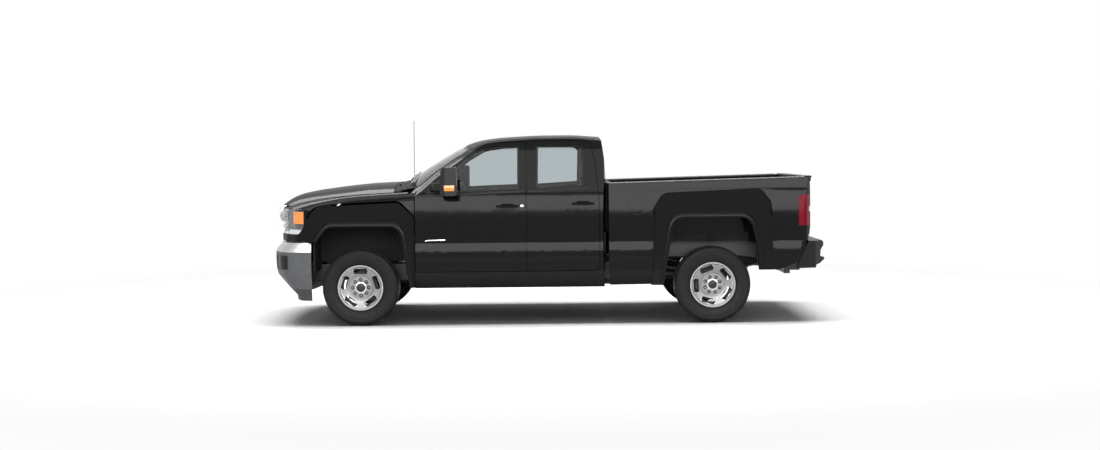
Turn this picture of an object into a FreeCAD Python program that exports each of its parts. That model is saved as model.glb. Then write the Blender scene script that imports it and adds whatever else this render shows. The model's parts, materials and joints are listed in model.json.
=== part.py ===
import FreeCAD, Part
import Sketcher
import math
import os

# Pickup truck with an extended four-door cab and a cargo bed.
# Frame: +X towards the tail, the driver's side is -Y, +Z up.
# The origin lies on the ground, halfway along and in the middle of the truck.

V = FreeCAD.Vector
doc = FreeCAD.newDocument("pickup_truck")

# Driving dimensions, millimetres and degrees

SIZES = {
    # whole vehicle
    "overall_length": 5852,
    "wheel_base": 3663,
    "front_overhang": 988,
    "flare_width": 2045,
    "front_track": 1748,
    "rear_track": 1732,
    "panel_gap": 7,
    "seat_gap": 0.3,
    "fender_gap": 9,
    # body lines, counted from the front axle
    "door_setback": 575,
    "front_door_length": 1156,
    "rear_door_length": 752,
    "cab_corner_depth": 77,
    "cab_bed_gap": 26,
    "rear_step_reach": 165,
    # body heights
    "rocker_height": 385,
    "door_bottom": 558,
    "belt_height": 1385,
    "roof_height": 1972,
    "floor_height": 606,
    "floor_thickness": 34,
    "tunnel_height": 764,
    "tunnel_half": 212,
    "tunnel_wall": 22,
    # body half widths
    "rocker_half": 950,
    "side_half": 1002,
    "waist_half": 990,
    "belt_half": 962,
    "roof_half": 760,
    # walls
    "door_thickness": 100,
    "upper_door_thickness": 48,
    "pillar_thickness": 44,
    "door_reveal": 12,
    "door_hem": 18,
    "hem_step": 9,
    "hinge_setback": 30,
    "roof_thickness": 40,
    "back_wall": 50,
    "fender_skin": 14,
    "hood_skin": 22,
    "glass_thickness": 5,
    "glass_setback": 14,
    # hood and nose
    "hood_height": 1470,
    "hood_rear_half": 800,
    "hood_front_half": 575,
    "grille_reach": 76,
    "grille_bottom": 836,
    "grille_top": 1236,
    # bed
    "bed_rail_height": 1465,
    "bed_floor_height": 951,
    "bed_floor_thickness": 26,
    "bed_half": 1000,
    "bed_inner_half": 838,
    "wheelhouse_half": 648,
    "wheelhouse_height": 1165,
    "bed_bottom": 552,
    "bed_skirt": 26,
    "tailgate_thickness": 62,
    # wheel arches
    "arch_half_length": 440,
    "front_arch_top": 1026,
    "rear_arch_top": 1094,
    "flare_lip": 36,
    "blister_reach": 14,
    # wheels and tyres
    "tyre_radius": 397,
    "tyre_width": 266,
    "tread_width": 214,
    "bead_radius": 217,
    "rim_radius": 236,
    "rim_width": 228,
    "barrel_radius": 200,
    "wheel_offset": 44,
    "spoke_windows": 5,
    "lug_circle": 165.1,
    "lug_recess": 38,
    "lug_count": 8,
    "hub_bore": 121,
    "disc_radius": 165,
    "disc_thickness": 34,
    # chassis
    "rail_inner": 408,
    "rail_width": 72,
    "rail_depth": 170,
    "rail_wall": 8,
    "rail_bottom": 430,
    "rail_rise": 230,
    "king_pin_half": 780,
    "axle_tube_radius": 48,
    "spring_width": 70,
    "receiver_outer": 78,
    "receiver_inner": 64,
    "receiver_height": 500,
    "spare_radius": 394,
    "spare_half": 118,
    "pipe_radius": 32,
    # antenna
    "antenna_length": 805,
}

sheet = doc.addObject("Spreadsheet::Sheet", "sizes")
for row, (alias, number) in enumerate(SIZES.items(), start=1):
    sheet.set("A%d" % row, alias)
    sheet.set("B%d" % row, str(number))
    sheet.setAlias("B%d" % row, alias)
doc.recompute()


class Length:
    """A value that keeps the sheet expression that it comes from."""

    def __init__(self, value, text):
        self.value = float(value)
        self.text = text

    def __float__(self):
        return self.value

    def joined(self, other, value, sign, swap=False):
        text = other.text if isinstance(other, Length) else repr(float(other))
        pair = (text, self.text) if swap else (self.text, text)
        return Length(value, "(%s %s %s)" % (pair[0], sign, pair[1]))

    def __add__(self, other):
        return self.joined(other, self.value + float(other), "+")

    def __radd__(self, other):
        return self.joined(other, self.value + float(other), "+", True)

    def __sub__(self, other):
        return self.joined(other, self.value - float(other), "-")

    def __rsub__(self, other):
        return self.joined(other, float(other) - self.value, "-", True)

    def __mul__(self, other):
        return self.joined(other, self.value * float(other), "*")

    def __rmul__(self, other):
        return self.joined(other, self.value * float(other), "*", True)

    def __truediv__(self, other):
        return self.joined(other, self.value / float(other), "/")

    def __neg__(self):
        return Length(-self.value, "(0 - %s)" % self.text)


class Sizes:
    """The sheet's cells by name."""

    def __getattr__(self, alias):
        return Length(sheet.get(alias), "sizes." + alias)


size = Sizes()
pieces = {}

# Stations along the truck, worked out from the sheet

nose_x = -size.overall_length / 2
tail_x = size.overall_length / 2
front_x = nose_x + size.front_overhang
rear_x = front_x + size.wheel_base
door_front_x = front_x + size.door_setback
door_split_x = door_front_x + size.front_door_length
door_rear_x = door_split_x + size.rear_door_length
cab_back_x = door_rear_x + size.cab_corner_depth
bed_front_x = cab_back_x + size.cab_bed_gap
bed_rear_x = tail_x - size.rear_step_reach
tailgate_x = bed_rear_x - size.tailgate_thickness
grille_x = nose_x + size.grille_reach
cab_floor_top = size.floor_height + size.floor_thickness

# Helpers for parametric bodies


def bind(item, name, length):
    """Set a property, and tie it to the sheet where the size has a cell."""
    if isinstance(length, Length):
        item.setExpression(name, length.text)
    else:
        setattr(item, name, length)


def new_body(label):
    """An empty PartDesign body with its own label."""
    body = doc.addObject("PartDesign::Body", label)
    body.Label = label
    return body


def sketch_on(body, plane, offset=0.0):
    """A sketch on one of the body's own origin planes, moved along its normal."""
    sketch = body.newObject("Sketcher::SketchObject", body.Name + "_sketch")
    support = [f for f in body.Origin.OriginFeatures if f.Role == plane + "_Plane"][0]
    sketch.AttachmentSupport = [(support, "")]
    sketch.MapMode = "FlatFace"
    shift = -offset if plane == "XZ" else offset
    if isinstance(shift, Length):
        sketch.setExpression("AttachmentOffset.Base.z", shift.text)
    else:
        sketch.AttachmentOffset = FreeCAD.Placement(V(0, 0, shift), FreeCAD.Rotation())
    return sketch


def draw_loop(sketch, points):
    """A closed loop of straight lines whose corners are held by two sizes each."""
    first = sketch.GeometryCount
    count = len(points)
    flat = [(float(a), float(b)) for a, b in points]
    for k in range(count):
        a, b = flat[k], flat[(k + 1) % count]
        sketch.addGeometry(Part.LineSegment(V(a[0], a[1], 0), V(b[0], b[1], 0)), False)
    for k in range(count):
        here, after = first + k, first + (k + 1) % count
        sketch.addConstraint(Sketcher.Constraint("Coincident", here, 2, after, 1))
    for k, corner in enumerate(points):
        for kind, length in (("DistanceX", corner[0]), ("DistanceY", corner[1])):
            rule = Sketcher.Constraint(kind, -1, 1, first + k, 1, float(length))
            index = sketch.addConstraint(rule)
            if isinstance(length, Length):
                sketch.setExpression("Constraints[%d]" % index, length.text)


def draw_circle(sketch, centre, radius):
    """A circle held by its centre and radius."""
    middle = V(float(centre[0]), float(centre[1]), 0)
    index = sketch.addGeometry(Part.Circle(middle, V(0, 0, 1), float(radius)), False)
    rules = (("DistanceX", centre[0]), ("DistanceY", centre[1]))
    for kind, length in rules:
        rule = sketch.addConstraint(Sketcher.Constraint(kind, -1, 1, index, 3, float(length)))
        if isinstance(length, Length):
            sketch.setExpression("Constraints[%d]" % rule, length.text)
    rule = sketch.addConstraint(Sketcher.Constraint("Radius", index, float(radius)))
    if isinstance(radius, Length):
        sketch.setExpression("Constraints[%d]" % rule, radius.text)


def stretch(body, kind, plane, low, high, loops=(), circles=()):
    """A pad or pocket of the loops and circles between two stations along the normal."""
    middle = (low + high) / 2 if isinstance(low + high, Length) else (low + high) / 2.0
    sketch = sketch_on(body, plane, middle)
    for points in loops:
        draw_loop(sketch, points)
    for centre, radius in circles:
        draw_circle(sketch, centre, radius)
    feature = body.newObject("PartDesign::" + kind, body.Name + "_" + kind.lower())
    feature.Profile = sketch
    feature.SideType = "Symmetric"
    feature.Refine = False
    bind(feature, "Length", high - low)
    return feature


def pad(body, plane, low, high, loops=(), circles=()):
    return stretch(body, "Pad", plane, low, high, loops, circles)


def pocket(body, plane, low, high, loops=(), circles=()):
    return stretch(body, "Pocket", plane, low, high, loops, circles)


def revolve(body, profile, kind="Revolution", plane="XY", axis="V_Axis"):
    """Turn a closed profile round an axis of its sketch."""
    sketch = sketch_on(body, plane)
    draw_loop(sketch, profile)
    feature = body.newObject("PartDesign::" + kind, body.Name + "_turned")
    feature.Profile = sketch
    feature.ReferenceAxis = (sketch, [axis])
    feature.Angle = 360
    feature.Refine = False
    return feature


def polar(body, feature, count, role="Y_Axis"):
    """Repeat a feature round one of the body's own axes."""
    pattern = body.newObject("PartDesign::PolarPattern", body.Name + "_ring")
    pattern.Originals = [feature]
    pattern.Refine = False
    axis = [f for f in body.Origin.OriginFeatures if f.Role == role][0]
    pattern.Axis = (axis, [""])
    pattern.Angle = 360
    bind(pattern, "Occurrences", count)
    body.Tip = pattern
    return pattern


def mirrored(body, features):
    """The same features on the other side of the truck."""
    pattern = body.newObject("PartDesign::Mirrored", body.Name + "_other_side")
    pattern.Originals = features
    plane = [f for f in body.Origin.OriginFeatures if f.Role == "XZ_Plane"][0]
    pattern.MirrorPlane = (plane, [""])
    body.Tip = pattern
    return pattern


def box_loop(a0, a1, b0, b1):
    return [(a0, b0), (a1, b0), (a1, b1), (a0, b1)]


def pair(label, source):
    """A compound of one piece and its mirror image across the truck."""
    other = doc.addObject("Part::Mirroring", label + "_mirror")
    other.Source = source
    other.Normal = V(0, 1, 0)
    both = doc.addObject("Part::Compound", label)
    both.Links = [source, other]
    both.Label = label
    pieces[label] = both


# Helpers for the free-form panels


def rounded_wire(points, place):
    """A closed wire of lines and tangent arcs through (a, b, radius) corners."""
    edges, starts = [], []
    count = len(points)
    for k in range(count):
        before, here, after = points[k - 1], points[k], points[(k + 1) % count]
        corner = V(float(here[0]), float(here[1]), 0)
        radius = float(here[2]) if len(here) > 2 else 0.0
        if not radius:
            starts.append((corner, corner, None))
            continue
        back = V(float(before[0]), float(before[1]), 0) - corner
        ahead = V(float(after[0]), float(after[1]), 0) - corner
        room = 0.49 * min(back.Length, ahead.Length)
        back, ahead = back.normalize(), ahead.normalize()
        half = back.getAngle(ahead) / 2.0
        reach = min(radius / math.tan(half), room)
        radius = reach * math.tan(half)
        bisector = (back + ahead).normalize()
        middle = corner + bisector * (radius / math.sin(half) - radius)
        starts.append((corner + back * reach, corner + ahead * reach, middle))
    for k, (enter, leave, middle) in enumerate(starts):
        if middle is not None:
            edges.append(Part.Arc(place(enter), place(middle), place(leave)).toShape())
        following = starts[(k + 1) % count][0]
        if (following - leave).Length > 1e-6:
            edges.append(Part.LineSegment(place(leave), place(following)).toShape())
    return Part.Wire(edges)


def side_prism(points, y0, y1):
    """A solid with a side outline, from y0 to y1 across the truck."""
    wire = rounded_wire(points, lambda p: V(p.x, float(y0), p.y))
    return Part.Face(wire).extrude(V(0, float(y1) - float(y0), 0))


def plan_prism(points, z0, z1):
    """A solid with a plan outline, from z0 to z1."""
    wire = rounded_wire(points, lambda p: V(p.x, p.y, float(z0)))
    return Part.Face(wire).extrude(V(0, 0, float(z1) - float(z0)))


def both_sides(points):
    """Close a half outline, given from front to tail on +Y, over the middle."""
    return points + [(p[0], -p[1]) + tuple(p[2:]) for p in reversed(points)]


def block(x0, x1, y0, y1, z0, z1):
    corner = V(float(x0), float(y0), float(z0))
    return Part.makeBox(float(x1 - x0), float(y1 - y0), float(z1 - z0), corner)


def mirror_y(shape):
    return shape.mirror(V(0, 0, 0), V(0, 1, 0))


def one_solid(shape):
    """The single solid of a result, with its split faces joined."""
    clean = shape.removeSplitter()
    return clean.Solids[0] if len(clean.Solids) == 1 else clean


def panel(label, shape):
    """A free-form piece as a document object with its own label."""
    item = doc.addObject("Part::Feature", label)
    item.Label = label
    item.Shape = shape
    pieces[label] = item
    return item


def sheet_below(height, x_span, y_span, counts, depth):
    """A solid whose top is a smooth height field and which is depth thick."""
    (x0, x1), (y0, y1) = x_span, y_span
    across, along = counts
    grid = []
    for i in range(along + 1):
        x = x0 + (x1 - x0) * i / along
        row = [V(x, y0 + (y1 - y0) * j / across, 0) for j in range(across + 1)]
        grid.append([V(p.x, p.y, height(p.x, p.y)) for p in row])
    surface = Part.BSplineSurface()
    surface.interpolate(grid)
    return surface.toShape().extrude(V(0, 0, -depth))


def smooth_step(value, low, high):
    t = min(1.0, max(0.0, (value - low) / (high - low)))
    return t * t * (3 - 2 * t)


def along_curve(points, x):
    """Height at x on a smooth curve through a few (x, z) points."""
    last = len(points) - 2
    k = 0
    while k < last and x > points[k + 1][0]:
        k += 1

    def slope(index):
        low, high = max(0, index - 1), min(len(points) - 1, index + 1)
        return (points[high][1] - points[low][1]) / (points[high][0] - points[low][0])
    (xa, za), (xb, zb) = points[k], points[k + 1]
    if x <= xa or x >= xb:
        edge = k if x <= xa else k + 1
        return points[edge][1] + slope(edge) * (x - points[edge][0])
    u, width = (x - xa) / (xb - xa), xb - xa
    rise = 2 * u ** 3 - 3 * u ** 2 + 1
    return (rise * za + (1 - rise) * zb + (u ** 3 - 2 * u ** 2 + u) * width * slope(k)
            + (u ** 3 - u ** 2) * width * slope(k + 1))


def side_section(lower_inset, upper_inset, crease=True):
    """The body's half section: rocker, lower side, crease ledge, waist and greenhouse."""
    rocker, side, waist = float(size.rocker_half), float(size.side_half), float(size.waist_half)
    belt, roof = float(size.belt_half), float(size.roof_half)
    low, sill = float(size.rocker_height), float(size.door_bottom)
    belt_z, roof_z = float(size.belt_height), float(size.roof_height)
    shelf = waist - 3 if crease else side - 2
    lower = [
        (rocker, low), (side - 18, low + 60), (side - 4, sill + 20), (side, 700), (side - 1, 780),
        (shelf, 862), (waist + 1, 1010), (waist, 1160), (waist - 9, 1290), (belt, belt_z),
    ]
    upper = [
        (belt - 5, belt_z + 12), (belt - 72, belt_z + 215), (roof + 36, roof_z - 120), (roof, roof_z - 62),
        (roof - 60, roof_z + 10), (roof - 140, roof_z + 90),
    ]
    return [(y - lower_inset, z) for y, z in lower], [(y - upper_inset, z) for y, z in upper]


def long_solid(section, x0, x1):
    """A body as wide as a half section on both sides, from x0 to x1."""
    lower, upper = section
    edges = []
    for side in (1, -1):
        curves = []
        for points in (lower[:4], lower[3:6], lower[5:], upper):
            curve = Part.BSplineCurve()
            curve.interpolate([V(float(x0), side * y, z) for y, z in points])
            curves.append(curve.toShape())
        ledge = [V(float(x0), side * p[0], p[1]) for p in (lower[-1], upper[0])]
        edges += curves + [Part.LineSegment(ledge[0], ledge[1]).toShape()]
    for y, z in (lower[0], upper[-1]):
        edges.append(Part.LineSegment(V(float(x0), y, z), V(float(x0), -y, z)).toShape())
    wire = Part.Wire(Part.__sortEdges__(edges))
    return Part.Face(wire).extrude(V(float(x1) - float(x0), 0, 0))


# Shape of the cab's top: windscreen, roof and their crown

CAB_LINE = [(-1640, 1395), (-1500, 1478), (-1400, 1553), (-1305, 1622), (-1146, 1720), (-985, 1813),
            (-878, 1864), (-766, 1906), (-654, 1930), (-487, 1950), (-260, 1964), (-40, 1972), (700, 1972)]


def cab_top(drop):
    """Height of the windscreen and roof over a plan point, lowered by drop."""
    lift = float(size.roof_height) - 1972.0
    shift = float(door_front_x) + 1363.0

    def height(x, y):
        bow = 150.0 * (y / 800.0) ** 2 * (1.0 - smooth_step(x, -900, -450))
        tail = 20.0 * smooth_step(x, 250, 620)
        crown = 46.0 * (abs(y) / 760.0) ** 2.2
        return along_curve(CAB_LINE, x - shift - bow) + lift - crown - tail - drop
    return height


def cab_block(section, drop, back, front, floor):
    """The closed outer or inner form of the cab."""
    x0, x1 = float(front), float(cab_back_x)
    body = long_solid(section, x0, x1 + 30)
    lid = sheet_below(cab_top(drop), (x0 - 60, x1 + 60), (-1100, 1100), (12, 26), 1700)
    roof, belt = float(size.roof_height), float(size.belt_height)
    rear = [
        (x0 - 10, float(floor)), (x1 - back + 12, float(floor), 30), (x1 - back + 15, belt + 90, 200),
        (x1 - back - 34, roof - 112, 200), (x1 - back - 64, roof + 60), (x0 - 10, roof + 60),
    ]
    edge = section[0][6][0]
    plan = both_sides([(x0 - 10, 1100), (x1 - back - 60, 1100), (x1 - back - 22, edge - 55, 60),
                       (x1 - back + 14, 500, 400)])
    return body.common(lid).common(side_prism(rear, -1100, 1100)).common(plan_prism(plan, 0, 2200))


def grown_prism(points, growth, y0, y1):
    """A side prism whose outline stands off by growth, inwards if it is negative."""
    wire = rounded_wire(points, lambda p: V(p.x, float(y0), p.y))
    return Part.Face(wire.makeOffset2D(float(growth))).extrude(V(0, float(y1) - float(y0), 0))


# Outlines of the doors and their windows, from front to tail and from the sill up

gap = float(size.panel_gap)
dfx, dsx, drx = float(door_front_x), float(door_split_x), float(door_rear_x)
belt_z, roof_z = float(size.belt_height), float(size.roof_height)
sill_z = float(size.door_bottom)

FRONT_DOOR = [
    (dfx, sill_z, 45), (dsx - gap / 2, sill_z, 15), (dsx - gap / 2, roof_z - 70, 30),
    (dfx + 740, roof_z - 90, 260), (dfx + 560, roof_z - 162, 200), (dfx + 30, belt_z + 45, 30),
    (dfx, belt_z - 10, 20),
]
REAR_DOOR = [
    (dsx + gap / 2, sill_z, 15), (drx + 4, sill_z + 5, 45), (drx, belt_z - 100, 600),
    (drx - 40, roof_z - 270, 400),
    (drx - 92, roof_z - 68, 60), (dsx + gap / 2, roof_z - 66, 30),
]
FRONT_WINDOW = [
    (dfx + 92, belt_z - 22, 14), (dsx - 74, belt_z + 14, 14), (dsx - 74, roof_z - 116, 14),
    (dfx + 880, roof_z - 122, 200), (dfx + 660, roof_z - 154, 250), (dfx + 450, roof_z - 274, 300),
]
REAR_WINDOW = [
    (dsx + 95, belt_z + 14, 14), (drx - 160, belt_z + 44, 30), (drx - 152, roof_z - 150, 60),
    (drx - 220, roof_z - 114, 60), (dsx + 102, roof_z - 113, 14),
]

lower_wall, upper_wall = float(size.door_thickness), float(size.upper_door_thickness)
pillar = float(size.pillar_thickness)
reveal = float(size.door_reveal)
seat_gap = float(size.seat_gap)
opening_lap = 42.0

cab_front_x = door_front_x - 157
firewall_x = door_front_x - 77
cowl_front_x = cab_front_x - 74

outer_section = side_section(0, 0)
door_inner = long_solid(side_section(lower_wall, upper_wall), -2000, 1200)
door_core = long_solid(side_section(float(size.door_hem), float(size.door_hem)), -2000, 1200)
pillar_outer = long_solid(side_section(lower_wall + reveal, upper_wall + reveal), -2000, 1200)
hinge_reach = long_solid(
    side_section(lower_wall + reveal - seat_gap, upper_wall + reveal - seat_gap), -2000, 1200)
cab_outer = cab_block(outer_section, 0, 0, cab_front_x, size.rocker_height)
cabin = cab_block(side_section(lower_wall + reveal + pillar, upper_wall + reveal + pillar - 8),
                  float(size.roof_thickness), float(size.back_wall), firewall_x + 40, cab_floor_top)

WINDSCREEN = both_sides([
    (dfx - 98, 300, 500), (dfx - 2, 776, 40), (dfx + 545, 640, 60), (dfx + 500, 250, 400),
])
REAR_GLASS_HALF = 560.0
ROOF_PANEL_HALF = 610.0


def build_cab():
    """Floor, firewall, pillars, roof and back wall, open at doors and windows."""
    x0, x1 = float(cab_front_x), float(cab_back_x)
    shell = cab_outer.cut(cabin)
    firewall = float(firewall_x)
    shell = shell.cut(block(x0 - 5, firewall, -1100, 1100, 300, belt_z + 22))
    inner_half = float(size.side_half) - lower_wall - reveal - pillar - 14
    shell = shell.cut(block(x0 - 5, x1 + 40, -inner_half, inner_half, 300, float(size.floor_height)))
    for side in (1, -1):
        y0, y1 = (400, 1200) if side > 0 else (-1200, -400)
        shell = shell.cut(block(x0 - 5, dfx - gap / 2, side * 1057 - 145, side * 1057 + 145, 300,
                                belt_z + 17))
        for outline in (FRONT_DOOR, REAR_DOOR):
            rebate = grown_prism(outline, gap / 2 + 2, y0, y1).cut(pillar_outer)
            shell = shell.cut(rebate)
            shell = shell.cut(grown_prism(outline, -opening_lap, y0, y1).cut(
                block(-3000, 3000, -1300, 1300, 0, float(cab_floor_top))))
    shell = shell.cut(plan_prism(WINDSCREEN, belt_z, 2300))
    shell = add_tunnel(shell)
    rear_glass = rounded_wire(
        [(-REAR_GLASS_HALF, belt_z + 70, 60), (REAR_GLASS_HALF, belt_z + 70, 60),
         (REAR_GLASS_HALF - 60, roof_z - 165, 60), (60 - REAR_GLASS_HALF, roof_z - 165, 60)],
        lambda p: V(x1 - 200, p.x, p.y))
    window = Part.Face(rear_glass).extrude(V(300, 0, 0))
    shell = shell.cut(window)
    wall_x = x1 - float(size.back_wall) - 12
    floor = block(firewall, wall_x, -inner_half, inner_half, 500, float(size.tunnel_height) + 10).fuse(
        block(firewall, firewall + 44, -inner_half, inner_half, 500, belt_z - 5))
    roof = block(dfx + 600, wall_x - 40, -ROOF_PANEL_HALF, ROOF_PANEL_HALF, roof_z - 130, roof_z + 50)
    panel("floor_pan", one_solid(shell.common(floor)))
    panel("roof", one_solid(shell.common(roof)))
    clear = seat_gap
    floor_seat = block(firewall - 5, wall_x + clear, -inner_half - clear, inner_half + clear, 500,
                       float(size.tunnel_height) + 10 + clear).fuse(
        block(firewall - 5, firewall + 44 + clear, -inner_half - clear, inner_half + clear, 500,
              belt_z - 5 + clear))
    roof_seat = block(dfx + 600 - clear, wall_x - 40 + clear, -ROOF_PANEL_HALF - clear,
                      ROOF_PANEL_HALF + clear,
                      roof_z - 130, roof_z + 50)
    panel("cab", one_solid(shell.cut(floor_seat).cut(roof_seat)))
    glass_t = float(size.glass_thickness)
    screen = sheet_below(cab_top(6), (x0 - 60, dfx + 800), (-900, 900), (10, 14), glass_t + 1.5)
    screen = screen.common(plan_prism(WINDSCREEN, belt_z, 2300))
    pane = side_prism([
        (x1 - 14, belt_z + 40), (x1 - 14 + glass_t, belt_z + 40),
        (x1 - 73 + glass_t, roof_z - 100), (x1 - 73, roof_z - 100)], -700, 700).common(window)
    panel("cab_glass", Part.makeCompound([screen.Solids[0], pane.Solids[0]]))


def add_tunnel(shell):
    """The floor's tunnel over the gearbox, open from below."""
    wall, half = float(size.tunnel_wall), float(size.tunnel_half)
    low, high = float(size.floor_height), float(size.tunnel_height)
    start, crest, end = float(firewall_x), dfx + 440, dfx + 800
    hump = side_prism([(start, low), (start, high), (crest, high, 60), (end, low + 30), (end, low)], -half,
                      half)
    hollow = side_prism([(start - 10, low - 10), (start - 10, high - wall), (crest - 8, high - wall, 40),
                         (end - 26, low + 12), (end - 26, low - 10)], wall - half, half - wall)
    return shell.fuse(hump).cut(hollow)


def build_doors():
    """Each door is one hollow-framed leaf, as thick as the real one, with its window cut."""
    setback, glass_t = float(size.glass_setback), float(size.glass_thickness)
    leaf_outer = long_solid(side_section(setback, setback), -2000, 1200)
    leaf_inner = long_solid(side_section(setback + glass_t, setback + glass_t), -2000, 1200)
    pane_layer = leaf_outer.cut(leaf_inner)
    for name, outline, window in (("front", FRONT_DOOR, FRONT_WINDOW), ("rear", REAR_DOOR, REAR_WINDOW)):
        leaf = cab_outer.common(side_prism(outline, 300, 1200)).cut(door_inner)
        leaf = leaf.cut(door_core.cut(grown_prism(outline, -float(size.hem_step), 300, 1200)))
        leaf = leaf.cut(side_prism(window, 300, 1200))
        leaf = leaf.cut(handle_recess(name))
        leaf = leaf.fuse(door_handle(name))
        for strap in hinge_straps(outline):
            leaf = leaf.fuse(strap)
        pane = pane_layer.common(side_prism(window, 300, 1200))
        for side, hand in ((-1, "left"), (1, "right")):
            leaf_half = one_solid(leaf)
            pane_half = pane.Solids[0]
            if side < 0:
                leaf_half, pane_half = mirror_y(leaf_half), mirror_y(pane_half)
            panel("door_%s_%s" % (name, hand), leaf_half)
            panel("glass_%s_%s" % (name, hand), pane_half)


def hinge_straps(outline):
    """Two hinge leaves behind the door's front edge, which meet the pillar."""
    x = min(point[0] for point in outline) + float(size.hinge_setback)
    straps = []
    for z in (sill_z + 150, belt_z - 200):
        straps.append(block(x, x + 11, 780, 960, z, z + 60).cut(hinge_reach))
    return straps


HANDLE_CENTRES = {"front": (dsx - 198, 1232), "rear": (drx - 166, 1254)}
HANDLE_HALF = 118


def handle_recess(name):
    """The finger pocket behind a pull handle."""
    x, z = HANDLE_CENTRES[name]
    half = HANDLE_HALF - 48
    outline = [(x - half, z - 18, 16), (x + half, z - 18, 16), (x + half, z + 26, 20), (x - half, z + 26, 20)]
    return side_prism(outline, float(size.waist_half) - 42, 1100)


def door_handle(name):
    """A bowed pull handle that stands off the door skin at both ends."""
    x, z = HANDLE_CENTRES[name]
    skin = float(size.waist_half) - 8
    plan = [
        (x - HANDLE_HALF, skin - 12), (x - HANDLE_HALF + 42, skin - 12, 8),
        (x - HANDLE_HALF + 60, skin + 14, 10),
        (x + HANDLE_HALF - 60, skin + 14, 10), (x + HANDLE_HALF - 42, skin - 12, 8),
        (x + HANDLE_HALF, skin - 12),
        (x + HANDLE_HALF, skin + 10, 10), (x + HANDLE_HALF - 60, skin + 31, 60),
        (x - HANDLE_HALF + 60, skin + 31, 60),
        (x - HANDLE_HALF, skin + 10, 10),
    ]
    shape = [(x - HANDLE_HALF, z - 13, 12), (x + HANDLE_HALF, z - 13, 12), (x + HANDLE_HALF, z + 13, 12),
             (x - HANDLE_HALF, z + 13, 12)]
    return plan_prism(plan, z - 30, z + 30).common(side_prism(shape, 800, 1200))


# Front clip: nose, hood and fenders

HOOD_LINE = [(-2870, 1228), (-2836, 1262), (-2781, 1306), (-2689, 1350), (-2523, 1388), (-2358, 1413),
             (-2138, 1440), (-1918, 1461), (-1700, 1472), (-1300, 1480)]
SEAM_LINE = [(-2900, 1180), (-2726, 1238), (-2589, 1277), (-2378, 1317), (-2062, 1351), (-1746, 1372),
             (-1536, 1383), (-1300, 1400)]
clip_shift = float(front_x) + 1938.0
fender_rear_x = dfx - float(size.fender_gap)


def seam_half(x):
    """Half width of the hood at x, where it meets the fenders."""
    t = smooth_step(x - clip_shift, -2900, -1900)
    return float(size.hood_front_half) * (1 - t) + float(size.hood_rear_half) * t


def hood_top(drop):
    """Height of the crowned hood, which falls away to the fender seams."""
    def height(x, y):
        share = abs(y) / seam_half(x)
        centre = along_curve(HOOD_LINE, x - clip_shift) + float(size.hood_height) - 1470
        edge = along_curve(SEAM_LINE, x - clip_shift)
        return centre - (centre - edge) * min(share, 1.6) ** 2.6 - drop
    return height


def fender_top(drop):
    """Height of the fender's shoulder outside the seam."""
    def height(x, y):
        seam = seam_half(x)
        t = max(0.0, (abs(y) - seam) / (float(size.side_half) - seam))
        return along_curve(SEAM_LINE, x - clip_shift) - 14 * t - 92 * t ** 3 - drop
    return height


def nose_plan(inset):
    """Half plan outline of the nose and the sides behind it."""
    x, grille = float(nose_x), float(size.grille_reach)
    return [
        (x + grille + inset, 260, 1500), (x + grille + 42 + inset, 585 - inset * 0.3, 260),
        (x + grille + 118 + inset, 770 - inset * 0.6, 200), (x + grille + 246 + inset, 935 - inset, 160),
        (x + grille + 470, 1020 - inset), (float(door_front_x), 1020 - inset),
    ]


def clip_block(inset, top):
    """Closed form of the front clip under a given top."""
    x0, x1 = float(nose_x) + 30, fender_rear_x
    section = side_section(inset, inset, crease=False)
    body = long_solid(section, x0, x1)
    lid = sheet_below(top(inset), (x0 - 60, x1 + 80), (-1100, 1100), (16, 18), 1500)
    return body.common(lid).common(plan_prism(both_sides(nose_plan(inset)), 0, 1700))


def seam_plan(growth):
    """Plan outline of the hood opening between the fenders."""
    stations = [float(nose_x) - 30] + [float(front_x) + d for d in (-700, -500, -300, -100, 100, 300)]
    rear = fender_rear_x + 40
    return both_sides([(x, seam_half(x) + growth) for x in stations + [rear]])


def arch_outline(hub, top, front):
    """Flat-topped wheel arch: a short front leg and a long slanted rear leg."""
    hub, top, half = float(hub), float(top), float(size.arch_half_length)
    if front:
        return [(hub - half - 62, 250), (hub - half - 44, 820, 90), (hub - half + 104, top, 110),
                (hub + half - 32, top, 110), (hub + half + 102, 250)]
    return [(hub - half - 98, 250), (hub - half + 38, top, 110), (hub + half - 54, top, 120),
            (hub + half + 24, 770, 300), (hub + half + 66, 250)]


def blister_outline(hub, front):
    """The raised panel round a wheel arch."""
    hub, half = float(hub), float(size.arch_half_length)
    if front:
        top = float(size.front_arch_top) + 218
        return [(hub - half - 108, 200), (hub - half - 90, top - 90, 90), (hub - half + 10, top, 90),
                (hub + half - 35, top + 34, 80), (hub + half + 124, top - 125, 60), (hub + half + 124, 200)]
    top = float(size.rear_arch_top) + 244
    return [(hub - half - 214, 200), (hub - half - 160, top - 150, 60), (hub - half - 68, top, 90),
            (hub + half + 55, top + 40, 70), (hub + half + 150, top - 90, 60), (hub + half + 232, 200)]


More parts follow.
